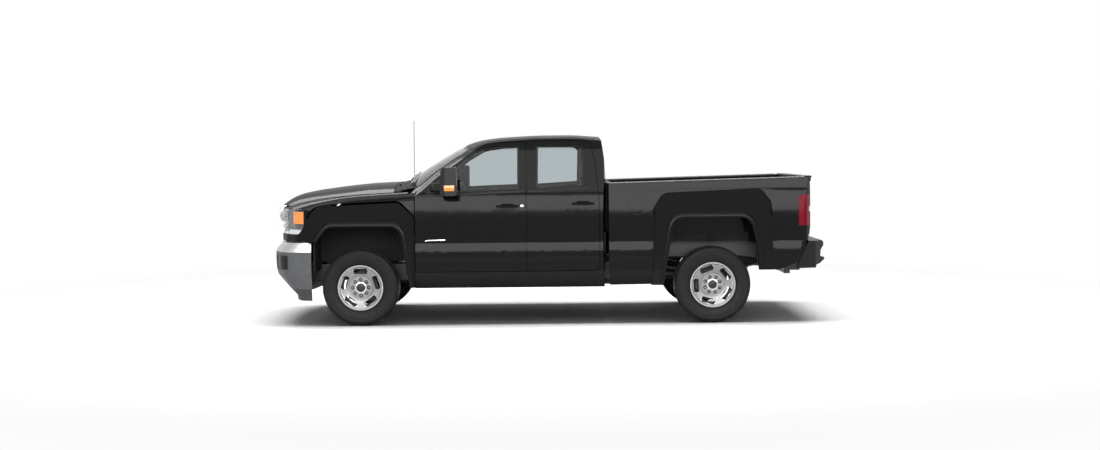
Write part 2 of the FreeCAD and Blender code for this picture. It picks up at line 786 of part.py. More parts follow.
def dress_arch(skin, hub, front, limits):
    """Add the blister and the flared lip round an arch to one side, then open the arch."""
    side, lip = float(size.side_half), float(size.flare_lip)
    flare = float(size.flare_width) / 2
    top = size.front_arch_top if front else size.rear_arch_top
    arch = arch_outline(hub, top, front)
    bulge = blister_outline(hub, front)
    reach = float(size.blister_reach)
    groove = grown_prism(bulge, 20, side - 46, 1200).cut(side_prism(bulge, 800, 1300))
    shoulder = block(-4000, 4000, 0, 1300, 1120, 1500)
    skin = skin.cut(groove.common(shoulder))
    pad = side_prism(bulge, side - 30, side - 2)
    for growth, outer in ((-8, side + reach * 0.45), (-16, side + reach * 0.8), (-26, side + reach)):
        pad = pad.fuse(grown_prism(bulge, growth, side - 30, outer))
    for growth, outer in ((lip, flare - 10), (lip * 0.72, flare - 2), (lip * 0.4, flare)):
        pad = pad.fuse(grown_prism(arch, growth, side - 40, outer))
    skin = skin.fuse(pad.common(limits))
    return skin.cut(side_prism(arch, side - 60, 1300))


def lamp_outline(growth, seat=0.0):
    """Side outline of the headlamp, grown all round but for its seat below."""
    x = float(nose_x)
    return [(x + 40 - growth, 952 - seat), (x + 345 + growth, 952 - seat, 60),
            (x + 404 + growth, 1040, 60), (x + 406 + growth, 1214 + growth, 16),
            (x + 40 - growth, 1222 + growth)]


LAMP_HALF = 592.0
clip_form = clip_block(0, fender_top)


def build_front_clip():
    """Two fenders, the hood and the wrapped headlamps, cut from one nose form."""
    x0 = float(nose_x)
    skin = float(size.fender_skin)
    outer = clip_form
    inner = clip_block(skin, fender_top)
    side_half = block(x0, 0, 0, 1300, 0, 1700)
    shell = outer.cut(inner).common(side_half)
    shell = shell.cut(plan_prism(seam_plan(gap / 2), 1100, 1700))
    shell = shell.cut(block(x0, x0 + 500, -10, float(size.hood_front_half) + 12, 800, 1700))
    front_leg = block(x0, float(front_x) - 250, -10, 1300, 0, 880)
    shell = shell.cut(front_leg)
    shell = shell.cut(block(x0, x0 + 600, -10, 560, 0, 1700))
    limits = block(x0 + 100, fender_rear_x, 0, 1300, 400, 1500).cut(front_leg)
    shell = dress_arch(shell, front_x, True, limits)
    shell = shell.cut(block(x0, 0, 0, 1300, 0, 404))
    shell = shell.cut(side_prism(lamp_outline(3, seat_gap), LAMP_HALF - 60, 1300))
    shell = shell.cut(block(float(firewall_x) - seat_gap, fender_rear_x + 5, 0, 912 + seat_gap, 1100, 1700))
    shell = one_solid(shell)
    panel("fenders", Part.makeCompound([shell, mirror_y(shell)]))

    lamp = outer.common(side_prism(lamp_outline(0), LAMP_HALF, 1300))
    core = clip_block(6, fender_top)
    lamp_back = clip_block(110, fender_top)
    lamp = lamp.common(core).cut(lamp_back)
    lamp = one_solid(lamp)
    panel("headlamps", Part.makeCompound([lamp, mirror_y(lamp)]))

    hood_skin = float(size.hood_skin)
    hood = clip_block(0, hood_top).cut(clip_block(hood_skin, hood_top))
    hood = hood.common(plan_prism(seam_plan(-gap / 2), 1000, 1700))
    hood_end = float(cowl_front_x) - 8
    hood = hood.cut(block(hood_end, 0, -1300, 1300, 0, 1700))
    hood = hood.cut(block(x0, 0, -1300, 1300, 0, float(size.grille_top) + 8))
    for y in (-650, 650):
        hinge_z = hood_top(hood_skin)(hood_end, y)
        leaf = block(hood_end - 30, float(cowl_front_x) - seat_gap, y - 30, y + 30, hinge_z - 6, hinge_z + 10)
        hood = hood.fuse(leaf)
    panel("hood", one_solid(hood))


# Cargo bed, open at the back, with its wheelhouses

RAIL_SLOPE = 0.022


def rail_z(x):
    """Height of the bed rail's top at x."""
    return float(size.bed_rail_height) + RAIL_SLOPE * (x - 971)


def build_bed():
    """Side walls, front wall and ribbed floor in one welded box."""
    x0, x1 = float(bed_front_x), float(bed_rear_x)
    floor, floor_t = float(size.bed_floor_height), float(size.bed_floor_thickness)
    inner, low = float(size.bed_inner_half), float(size.bed_bottom)
    hub = float(rear_x)
    section = side_section(float(size.side_half) - float(size.bed_half), 0)
    lower = section[0][:-1] + [(962, 1400)]
    upper = [(960, 1404), (958, 1440), (952, 1490), (946, 1600)]
    body = long_solid((lower, upper), x0, x1)
    outline = [
        (x0, float(size.rocker_height) + 18, 25), (hub - 480, float(size.rocker_height) + 26),
        (hub - 300, low), (x1 - 345, low, 60), (x1 - 150, low + 75, 50), (x1 - 40, 850, 30),
        (x1 + 4, 1000, 800),
        (x1 - 12, rail_z(x1) + 4, 12), (x0, rail_z(x0), 14),
    ]
    body = body.common(side_prism(outline, -1300, 1300))
    plan = both_sides([(x0, 1100), (x1 - 320, 1100), (x1 - 60, 975, 80), (x1, 880, 60)])
    body = body.common(plan_prism(plan, 0, 1800))
    hollow = block(x0 + 58, x1 + 50, -inner, inner, floor, 1800)
    skirt = float(size.bed_half) - float(size.bed_skirt) - 14
    under = block(x0 - 5, x1 - 90, -skirt, skirt, 300, floor - floor_t)
    body = body.cut(hollow).cut(under)
    body = body.cut(block(x1 - 81, x1 + 50, -inner, inner, 882, 1800))
    house_x = float(size.arch_half_length) + 20
    half = float(size.wheelhouse_half)
    top = float(size.wheelhouse_height)
    for side in (1, -1):
        y0, y1 = (half, inner + 10) if side > 0 else (-inner - 10, -half)
        house = side_prism([(hub - house_x, floor - 20), (hub - house_x + 30, top, 90),
                            (hub + house_x - 30, top, 90), (hub + house_x, floor - 20)], y0, y1)
        body = body.fuse(house)
    for side in (1, -1):
        wall_limits = block(x0, x1, 0, 1300, 402, 1700)
        wall_limits = wall_limits.cut(block(hub + 200, x1 + 50, 0, 1300, 0, low))
        if side < 0:
            body = mirror_y(body)
        body = dress_arch_cut(body, hub, wall_limits, half, top)
    space = wheel_space(hub, half, top)
    for x in (x0 + 80, hub - 420, hub, hub + 420, x1 - 150):
        sill = max(rail_top_at(x), rail_top_at(x + 56)) + seat_gap
        body = body.fuse(block(x, x + 56, -inner, inner, sill, floor - 10).cut(space))
    for y in range(-600, 601, 100):
        body = body.fuse(block(x0 + 58, x1 - 81, y - 11, y + 11, floor - 4, floor + 7))
    panel("bed", one_solid(body))


def wheel_space(hub, half, top):
    """The hollow over both rear wheels."""
    inner = grown_prism(arch_outline(hub, top - 26, False), -2, half + 20, 1300)
    return inner.fuse(mirror_y(inner))


def dress_arch_cut(body, hub, limits, half, top):
    """Flared arch on the +Y side of the bed, with the wheelhouse hollow behind it."""
    body = dress_arch(body, hub, False, limits)
    hollow = side_prism([(hub - 445, 300), (hub - 425, top - 26, 70), (hub + 425, top - 26, 70),
                         (hub + 445, 300)],
                        half + 18, float(size.side_half) - 34)
    return body.cut(hollow)


def rail_top_at(x):
    """Top of the chassis rail at x."""
    stations = [(float(a), float(b)) for a, b in rail_stations()]
    for (xa, za), (xb, zb) in zip(stations, stations[1:]):
        if x <= xb:
            return za + (zb - za) * (x - xa) / (xb - xa) + float(size.rail_depth)
    return stations[-1][1] + float(size.rail_depth)


def rail_stations():
    """Underside of the chassis rail: level under the cab, then up and over the rear axle."""
    low, rise = size.rail_bottom, size.rail_rise
    return [(nose_x + 226, low + 10), (front_x + 440, low), (rear_x - 1075, low),
            (rear_x - 760, low + rise * 0.5),
            (rear_x - 430, low + rise), (rear_x + 380, low + rise), (rear_x + 640, low + rise - 40),
            (tail_x - 306, low + rise - 40)]


def build_tailgate():
    """The drop-down tailgate, with its raised top edge and a pressed outer panel."""
    x0, x1 = float(tailgate_x), float(bed_rear_x)
    half = float(size.bed_inner_half) - gap
    low, high = float(size.bed_floor_height) - 46, rail_z(x1) + 8
    outline = [(x0, low, 10), (x1, low, 14), (x1, high - 58, 30), (x1 + 12, high - 40, 8), (x1 + 12, high, 8),
               (x0, high, 14)]
    gate = side_prism(outline, -half, half)
    recess = Part.Face(rounded_wire(
        [(-half + 120, low + 120, 40), (half - 120, low + 120, 40), (half - 120, high - 150, 40),
         (120 - half, high - 150, 40)], lambda p: V(x1 - 7, p.x, p.y))).extrude(V(40, 0, 0))
    gate = gate.cut(recess)
    grip = block(x1 - 26, x1 + 40, -105, 105, high - 128, high - 78)
    gate = gate.cut(grip)
    latch = block(x1 - 27, x1 - 6, -84, 84, high - 112, high - 94)
    gate = gate.fuse(latch)
    reach = float(size.bed_inner_half) - seat_gap
    gate = gate.fuse(Part.makeCylinder(11, 2 * reach, V(x1 - 31, -reach, low + 30), V(0, 1, 0)))
    panel("tailgate", one_solid(gate))


def build_tail_lamps():
    """Upright lamps wrapped round the bed's rear corners."""
    x1 = float(bed_rear_x)
    bed = pieces["bed"].Shape
    outline = [(x1 - 142, 1008, 12), (x1 + 30, 1008), (x1 + 30, 1330), (x1 - 142, 1322, 12)]
    region = side_prism(outline, float(size.bed_inner_half) + 12, 1300)
    lamp = bed.common(region)
    lamp = lamp.cut(block(x1 - 400, x1 - 60, 0, 940, 900, 1400))
    seat = seat_gap
    socket = side_prism([(x1 - 142 - seat, 1008 - seat, 12), (x1 + 30, 1008 - seat), (x1 + 30, 1330 + seat),
                         (x1 - 142 - seat, 1322 + seat, 12)], float(size.bed_inner_half) + 12 - seat, 1300)
    socket = socket.cut(block(x1 - 400, x1 - 60 - seat, 0, 940 - seat, 900, 1400))
    bed = bed.cut(socket).cut(mirror_y(socket))
    pieces["bed"].Shape = one_solid(bed)
    lamp = one_solid(lamp)
    panel("tail_lamps", Part.makeCompound([lamp, mirror_y(lamp)]))


def build_grille():
    """A bright surround with plain bars and a mesh backing, carried by the hood."""
    x0 = grille_x
    low, high = size.grille_bottom, size.grille_top
    top_half, low_half = size.hood_front_half, size.hood_front_half - 62
    body = new_body("grille")
    rim = 46
    outer = [(-top_half, high), (-low_half, low), (low_half, low), (top_half, high)]
    inner = [(-top_half + rim + 8, high - rim), (-low_half + rim + 2, low + rim),
             (low_half - rim - 2, low + rim),
             (top_half - rim - 8, high - rim)]
    pad(body, "YZ", x0 + 2, x0 + 62, [outer])
    pocket(body, "YZ", x0, x0 + 64, [inner])
    bar_count = 6
    step = (high - low - 2 * rim) / (bar_count + 1)
    for k in range(bar_count):
        z = low + rim + step * (k + 1)
        reach = top_half - rim + 6 - (high - z) * 0.148
        pad(body, "YZ", x0 + 14, x0 + 50, [box_loop(-reach, reach, z - 9, z + 9)])
    for y in (-340, -170, 0, 170, 340):
        pad(body, "YZ", x0 + 36, x0 + 54, [box_loop(y - 6, y + 6, low + rim - 4, high - rim + 4)])
    pad(body, "XZ", -size.hood_front_half + 120, size.hood_front_half - 120,
        [box_loop(x0 + 40, x0 + 62, high - rim, high + 8 - size.seat_gap)])
    pieces["grille"] = body


COVER_GAP = 0.4


def bumper_plan(setback, back):
    """Half plan outline of the front bumper, set back from its foremost line."""
    x = float(nose_x) + setback
    half = float(size.side_half) - 6 - setback * 0.3
    depth = 1 - setback / 600.0
    return [(x, 330, 1600), (x + 62 * depth, 700, 420), (x + 175 * depth, half - 40, 190),
            (float(nose_x) + 330 + setback * 0.45, half), (back, half)]


def layered_form(levels, back):
    """A lofted form through bumper outlines at rising heights."""
    wires = []
    for z, setback in levels:
        points = both_sides(bumper_plan(setback, back))
        wires.append(rounded_wire(points, lambda p, z=z: V(p.x, p.y, z)))
    return Part.makeLoft(wires, True, True)


def build_front_bumper():
    """Bright bumper bar over a textured cover with two lamp recesses, and the air dam below."""
    back = float(front_x) - 506
    bar_low, bar_high = 772.0, 868.0
    bar = layered_form([(bar_low, 4), (805, 26), (842, 62), (bar_high, 98)], back)
    bar = bar.cut(layered_form([(bar_low - 1, 34), (805, 56), (842, 90), (bar_high - 8, 116)], back + 40))
    dip = block(float(nose_x) - 20, back + 10, -540, 540, 826, 900)
    bar = bar.cut(dip)
    panel("front_bumper", one_solid(bar))

    cover = layered_form(
        [(384, 158), (457, 92), (530, 26), (604, 4), (700, 0), (bar_low - COVER_GAP, 6)], back)
    cover = cover.cut(layered_form([(383, 196), (457, 130), (530, 66), (604, 44), (700, 40), (bar_low, 46)],
                                   back + 40))
    x = float(nose_x)
    for side in (1, -1):
        recess = side_prism([(x - 20, 590, 14), (x + 260, 590), (x + 260, 735), (x - 20, 735, 14)], 560, 838)
        grip = recess if side > 0 else mirror_y(recess)
        inner = layered_form([(384, 190), (457, 124), (530, 58), (604, 34), (700, 30), (bar_low, 38)],
                             back + 40)
        cover = cover.cut(grip.cut(inner))
    intake = block(x - 20, x + 300, -430, 430, 470, 560)
    cover = cover.cut(intake)
    for z in (500, 530):
        cover = cover.fuse(layered_form([(z - 5, 70), (z + 5, 62)], back).cut(
            layered_form([(z - 6, 92), (z + 6, 92)], back + 60)).common(block(x, x + 300, -440, 440, 0, 900)))
    for side in (1, -1):
        horn = block(x + 90, x + 226 - seat_gap, side * 444 - 32, side * 444 + 32, 480, 560)
        cover = cover.fuse(horn)
    panel("bumper_cover", one_solid(cover))

    dam = layered_form([(258, 250), (300, 246), (383.6, 160)], back - 6)
    dam = dam.cut(layered_form([(257, 284), (300, 280), (384, 200)], back + 60))
    dam = dam.cut(block(x - 20, x + 700, -300, 300, 200, 300))
    panel("front_valance", one_solid(dam))


def build_inner_fenders():
    """Wheelhouse liners, aprons and the radiator with its support."""
    hub = float(front_x)
    lift = float(size.front_arch_top) + 4
    edge = float(size.side_half) - 40 - seat_gap
    liner_outer = side_prism([(hub - 486, 560), (hub - 486, lift - 40, 200), (hub - 300, lift + 44, 160),
                              (hub + 320, lift + 44, 160), (hub + 482, lift - 60, 200), (hub + 486, 520)],
                             536, edge)
    liner_inner = side_prism([(hub - 474, 500), (hub - 474, lift - 44, 190), (hub - 296, lift + 32, 150),
                              (hub + 316, lift + 32, 150), (hub + 470, lift - 64, 190), (hub + 474, 500)],
                             530, 990)
    liner = liner_outer.cut(liner_inner).common(clip_block(float(size.fender_skin) + 8, fender_top))
    liner = liner.fuse(block(hub - 500, hub + 484, 526, 540, 640, 1180))
    tower = float(size.tyre_radius) + 342
    liner = liner.cut(block(hub + 10 - seat_gap, hub + 100 + seat_gap, 520, 545, tower,
                            tower + 18 + seat_gap))
    support = block(hub - 640, hub - 600, -530, 530, 620, 1190)
    support = support.cut(block(hub - 660, hub - 580, -400, 400, 690, 1130))
    support = support.fuse(block(hub - 632, hub - 606, -404, 404, 686, 1134))
    for side in (1, -1):
        support = support.fuse(block(hub - 640, hub - 480, side * 532 - 8, side * 532 + 8, 700, 1180))
    panel("inner_fenders", one_solid(support.fuse(liner).fuse(mirror_y(liner))))


def build_cowl():
    """Air intake panel at the foot of the windscreen, with its rows of slots."""
    x0, x1 = float(cowl_front_x), float(cab_front_x) - seat_gap
    half = float(size.hood_rear_half) - 20
    top = sheet_below(hood_top(-2), (x0 - 100, x1 + 100), (-900, 900), (12, 4), 46)
    grid = top.common(block(x0, x1, -half, half, 1200, 1600))
    for k in range(4):
        y = -half + 110 + (2 * k + 1) * (half - 110) / 4
        grid = grid.cut(block(x0 + 20, x1 - 22, y - 52, y + 52, 1440, 1600))
    panel("cowl", one_solid(grid))


EXHAUST_Y = 283.0
EXHAUST_Z = 385.0
MUFFLER_RADIUS = 92.0


def build_frame():
    """Ladder frame: two channel rails, crossmembers, brackets and the tow receiver."""
    body = new_body("frame")
    inner, outer = size.rail_inner, size.rail_inner + size.rail_width
    depth, wall, seat = size.rail_depth, size.rail_wall, size.seat_gap
    low, rise, hub_z = size.rail_bottom, size.rail_rise, size.tyre_radius
    web = outer - wall / 2
    stations = rail_stations()
    rail = stations + [(x, z + depth) for x, z in reversed(stations)]
    channel = [(x, z + wall) for x, z in stations] + [(x, z + depth - wall) for x, z in reversed(stations)]
    pads = [pad(body, "XZ", inner, outer, [rail]), pocket(body, "XZ", inner - 1, outer - wall, [channel])]
    mirrored(body, pads)
    spare_x, spare_z = rear_x + 425, low + rise - 3
    cross = [
        (front_x - 590, front_x - 530, low + 30, low + 130),
        (front_x - 200, front_x - 96 - seat, low - 60, low + 40),
        (front_x + 840, front_x + 950, low + 6, 505 - seat),
        (rear_x - 1515, rear_x - 1445, low + 115, low + 166),
        (rear_x - 595, rear_x - 525, low + rise - 60, low + rise + 50),
        (spare_x - 30, spare_x + 30, low + rise + 122, low + rise + 152),
        (tail_x - 370, tail_x - 310, low + rise - 30, low + rise + 80),
    ]
    pad(body, "XZ", -web, web, [box_loop(*corners) for corners in cross])
    pad(body, "XY", spare_z - 18 + seat, spare_z - 8, circles=[((spare_x, 0), 80)])
    pad(body, "XY", spare_z - 9, low + rise + 124, [box_loop(spare_x - 20, spare_x + 20, -20, 20)])

    def both(y0, y1, *loops):
        """Like brackets on the right rail and on the left one, built as two pads."""
        pad(body, "XZ", y0, y1, loops)
        pad(body, "XZ", -y1, -y0, loops)

    roof = size.floor_height - seat
    both(outer - wall, outer + 90, *[[(x - 40, low + 60), (x + 40, low + 60), (x + 55, roof), (x - 55, roof)]
                                     for x in (front_x + 840, front_x + 1760, rear_x - 1180)])
    both(outer - 40, outer, *[box_loop(x - 25, x + 25, hub_z - 166, low + 20)
                              for x in (front_x - 170, front_x + 170)])
    both(150, web, box_loop(front_x - 60, front_x + 20, 520, 560 - seat))
    both(outer - wall, outer + 4, box_loop(front_x + 10, front_x + 100, low + 150, hub_z + 360))
    both(outer - wall, outer + 132, box_loop(front_x + 10, front_x + 100, hub_z + 342 + seat, hub_z + 360))
    both(outer - wall, outer + 70, *[box_loop(x - 30, x + 30, low + rise - 66, low + rise + 30)
                                     for x in (rear_x - 640, rear_x + 560)])
    both(inner + 32, outer, [(tail_x - 330, 650), (tail_x - 110 - seat, 650), (tail_x - 110 - seat, 720),
                             (tail_x - 330, 740)])
    muffler_side = EXHAUST_Y + MUFFLER_RADIUS + seat
    pad(body, "XZ", muffler_side, inner + 32, [box_loop(585, 615, 378, 392)])
    pad(body, "XZ", inner - 8, inner + 32, [box_loop(585, 615, 390, low + 6)])

    receiver, bore = size.receiver_outer / 2, size.receiver_inner / 2
    z, x1 = size.receiver_height, tail_x - 118
    both(outer - wall, outer + 4, box_loop(tail_x - 372, tail_x - 308, z - 36, low + rise + 60))
    pad(body, "XZ", -outer - 4, outer + 4, [box_loop(tail_x - 372, tail_x - 308, z - 32, z + 32)])
    pad(body, "YZ", tail_x - 372, x1, [box_loop(-receiver, receiver, z - receiver, z + receiver)])
    pocket(body, "YZ", tail_x - 300, x1 + 2, [box_loop(-bore, bore, z - bore, z + bore)])
    pieces["frame"] = body


def build_driveline():
    """Engine as one plain block, gearbox with transfer case, and both propeller shafts."""
    engine = new_body("engine")
    pad(engine, "YZ", front_x - 470, front_x + 330,
        [[(-210, 640), (-180, 560), (180, 560), (210, 640), (330, 1010), (250, 1120), (-250, 1120),
          (-330, 1010)]])
    pieces["engine"] = engine
    gearbox = new_body("gearbox")
    pad(gearbox, "YZ", front_x + 330 + size.seat_gap, front_x + 488, circles=[((0, 600), 190)])
    pad(gearbox, "YZ", front_x + 487, front_x + 1060,
        [[(-165, 560), (-120, 505), (120, 505), (165, 560), (165, 680), (120, 720), (-120, 720),
          (-165, 680)]])
    pad(gearbox, "YZ", front_x + 1059, front_x + 1180, circles=[((0, 580), 90)])
    pad(gearbox, "YZ", front_x + 1179, front_x + 1330,
        [[(-330, 430), (-280, 345), (-160, 345), (150, 440), (150, 600), (-110, 600), (-330, 540)]])
    pieces["gearbox"] = gearbox
    hub_z = float(size.tyre_radius)
    runs = ((V(float(front_x) + 1330, 0, 520), V(float(rear_x) - 152, 0, hub_z + 20), 50),
            (V(float(front_x) + 1179, -240, 400), V(float(front_x) + 118, -150, hub_z), 28))
    shafts = []
    for start, end, radius in runs:
        way = 1 if end.x > start.x else -1
        flange, along = radius * 0.86, V(way, 0, 0)
        start, end = start + along * seat_gap, end - along * seat_gap
        shaft = Part.makeCylinder(flange, 60, start, along).fuse(Part.makeCylinder(flange, 60, end, -along))
        run = end - along * 40 - (start + along * 40)
        shaft = shaft.fuse(Part.makeCylinder(radius, run.Length, start + along * 40, run))
        shafts.append(one_solid(shaft))
    panel("driveshafts", Part.makeCompound(shafts))


def build_axles():
    """Live rear axle with its springs, and the independent front suspension."""
    hub_z = size.tyre_radius
    rear = new_body("rear_axle")
    radius = size.axle_tube_radius
    reach = size.rear_track / 2
    face = reach + size.wheel_offset - 14 - size.disc_thickness - size.seat_gap
    pad(rear, "XZ", -face, face, circles=[((rear_x, hub_z), radius)])
    pad(rear, "XZ", -80, 80, circles=[((rear_x, hub_z), 150)])
    pad(rear, "XZ", -100, 100, circles=[((rear_x, hub_z), 128)])
    pad(rear, "YZ", rear_x - 152, rear_x - 60, circles=[((0, hub_z + 20), 62)])
    for y0, y1 in ((reach - 92, reach - 78), (78 - reach, 92 - reach)):
        pad(rear, "XZ", y0, y1, circles=[((rear_x, hub_z), 172)])
    spring_y = size.rail_inner + size.rail_width + 38
    half = size.spring_width / 2
    for side in (1, -1):
        y = side * spring_y
        pad(rear, "XZ", y - half - 6, y + half + 6,
            [box_loop(rear_x - 60, rear_x + 60, hub_z + 20, hub_z + 64)])
    pieces["rear_axle"] = rear

    spring = new_body("spring")
    top = size.rail_bottom + size.rail_rise - 66
    z0 = hub_z + 64.3
    leaf = 14
    y0, y1 = spring_y - half, spring_y + half
    eye = top - size.seat_gap
    main = [(rear_x - 668, eye), (rear_x - 380, z0 + 92), (rear_x - 90, z0 + 42), (rear_x + 90, z0 + 42),
            (rear_x + 380, z0 + 92), (rear_x + 600, eye), (rear_x + 588, eye - 16), (rear_x + 380, z0 + 76),
            (rear_x + 90, z0 + 28), (rear_x - 90, z0 + 28), (rear_x - 380, z0 + 76), (rear_x - 656, eye - 16)]
    pad(spring, "XZ", y0, y1, [main])
    for k, reach_x in enumerate((430, 300)):
        level = z0 + 42 - (k + 1) * leaf
        tip = level + (reach_x - 90) * 0.172
        loop = [(rear_x - reach_x, tip), (rear_x - 90, level), (rear_x + 90, level), (rear_x + reach_x, tip),
                (rear_x + reach_x, tip - leaf), (rear_x + 90, level - leaf), (rear_x - 90, level - leaf),
                (rear_x - reach_x, tip - leaf)]
        pad(spring, "XZ", y0 + 2, y1 - 2, [loop])
    pad(spring, "XZ", y0, y1, [box_loop(rear_x - 62, rear_x + 62, z0, z0 + 14.5)])
    pair("leaf_springs", spring)

    front = new_body("front_axle")
    pad(front, "XZ", -210, 90, circles=[((front_x, hub_z), 96)])
    pad(front, "YZ", front_x, front_x + 118, circles=[((-150, hub_z), 52)])
    pin = size.king_pin_half
    pad(front, "XZ", -pin + 62, pin - 62, circles=[((front_x, hub_z), 17)])
    for y0, y1 in ((pin - 150, pin - 70), (70 - pin, 150 - pin), (200, 280), (-330, -250)):
        pad(front, "XZ", y0, y1, circles=[((front_x, hub_z), 44)])
    pieces["front_axle"] = front

    arms = new_body("arms")
    inner = size.rail_inner + size.rail_width
    pin_z_low, pin_z_high = hub_z - 128, hub_z + 152
    lower = [(front_x - 190, inner + seat_gap), (front_x + 190, inner + seat_gap), (front_x + 44, pin + 30),
             (front_x - 44, pin + 30)]
    upper = [(front_x - 130, inner + seat_gap), (front_x + 130, inner + seat_gap), (front_x + 32, pin + 26),
             (front_x - 32, pin + 26)]
    lower_hole = [(front_x - 66, inner + 140), (front_x + 66, inner + 140), (front_x + 22, pin - 70),
                  (front_x - 22, pin - 70)]
    upper_hole = [(front_x - 104, inner + 28), (front_x + 104, inner + 28), (front_x + 16, pin - 60),
                  (front_x - 16, pin - 60)]
    pad(arms, "XY", pin_z_low - 34, pin_z_low, [lower])
    pocket(arms, "XY", pin_z_low - 36, pin_z_low + 2, [lower_hole])
    link = new_body("upper_link")
    pad(link, "XY", pin_z_high, pin_z_high + 26, [upper])
    pocket(link, "XY", pin_z_high - 2, pin_z_high + 28, [upper_hole])
    strut = new_body("strut")
    strut_x, strut_y = front_x + 55, inner + 96
    pad(strut, "XY", pin_z_low + size.seat_gap, hub_z + 342, circles=[((strut_x, strut_y), 14)])
    pad(strut, "XY", pin_z_low + 100, pin_z_high - 26, circles=[((strut_x, strut_y), 30)])
    join = doc.addObject("Part::Compound", "suspension_side")
    join.Links = [arms, link, strut]
    pair("suspension", join)


def build_tank_and_exhaust():
    """Fuel tank beside the left rail's inner face, and the exhaust down the right."""
    tank = new_body("fuel_tank")
    low = size.rail_bottom
    inner = size.rail_inner
    pad(tank, "XZ", -inner + size.seat_gap, -inner + 290, [[
        (rear_x - 1950, low - 30), (rear_x - 1900, low - 70), (rear_x - 1110, low - 70),
        (rear_x - 1080, low - 30),
        (rear_x - 1080, low + 110), (rear_x - 1950, low + 110)]])
    pieces["fuel_tank"] = tank
    y, z, hub = EXHAUST_Y, EXHAUST_Z, float(rear_x)
    down = float(front_x) + 238
    under_rail = float(size.rail_inner) + float(size.pipe_radius)
    over = float(low) + float(size.rail_rise) - 60
    path = [V(down, y, 760), V(down, y, z), V(hub - 640, y, z), V(hub - 400, under_rail, over),
            V(hub + 380, under_rail, over), V(hub + 520, under_rail, over - 80),
            V(hub + 760, under_rail + 200, over - 120)]
    bend = 150.0
    edges, at = [], path[0]
    for k in range(1, len(path) - 1):
        back = (path[k - 1] - path[k]).normalize()
        ahead = (path[k + 1] - path[k]).normalize()
        half = back.getAngle(ahead) / 2
        reach = bend / math.tan(half)
        middle = path[k] + (back + ahead).normalize() * (bend / math.sin(half) - bend)
        enter, leave = path[k] + back * reach, path[k] + ahead * reach
        edges.append(Part.LineSegment(at, enter).toShape())
        edges.append(Part.Arc(enter, middle, leave).toShape())
        at = leave
    edges.append(Part.LineSegment(at, path[-1]).toShape())
    ring = Part.Wire(Part.makeCircle(float(size.pipe_radius), path[0], path[1] - path[0]))
    pipe = Part.Wire(edges).makePipeShell([ring], True, True)
    muffler = Part.makeCylinder(MUFFLER_RADIUS, 640, V(hub - 1340, y, z), V(1, 0, 0))
    panel("exhaust", one_solid(pipe.fuse(muffler)))


def tyre_profile():
    """Radius and width stations of the tyre's section, from bead to tread and back inside."""
    outer, half, tread = size.tyre_radius, size.tyre_width / 2, size.tread_width / 2
    bead, rim = size.bead_radius + size.seat_gap, size.rim_radius + size.seat_gap
    flange = size.rim_width / 2 - 11 - size.seat_gap
    right = [(bead, flange), (rim, flange), (rim + 6, flange + 10), (rim + 40, half - 5), (rim + 82, half),
             (outer - 44, half - 3), (outer - 17, tread + 13), (outer - 5, tread), (outer, tread - 22)]
    left = [(r, -y) for r, y in reversed(right)]
    cavity = [(bead, -flange + 26), (rim + 30, -half + 24), (outer - 50, -half + 18),
              (outer - 18, -tread + 10),
              (outer - 18, tread - 10), (outer - 50, half - 18), (rim + 30, half - 24), (bead, flange - 26)]
    return right + left + cavity


HUB_OVERLAP = 0.5


def rim_profile():
    """Radius and width stations of the wheel: barrel, flanges, spoke disc and hub."""
    rim, barrel, half = size.rim_radius, size.barrel_radius, size.rim_width / 2
    bead, bore, offset = size.bead_radius, size.hub_bore / 2, size.wheel_offset
    return [
        (bore, offset), (bore + 45, offset), (bore + 52, offset + 10), (barrel - 11, offset + 26),
        (barrel - 11, -20), (bead - 11, -60), (bead - 7, -half), (rim, -half), (rim, -half + 11),
        (bead, -half + 11),
        (bead - 1, -62), (barrel, -20), (barrel, 58), (bead - 1, 74), (bead, half - 11), (rim, half - 11),
        (rim, half), (bead + 2, half), (bead - 8, half - 12), (bead - 16, half - 16),
        (bore + 72, offset + 42),
        (bore + 56, offset + 34), (bore + 18, offset + 34), (bore + 14, offset + 44), (bore, offset + 44),
    ]


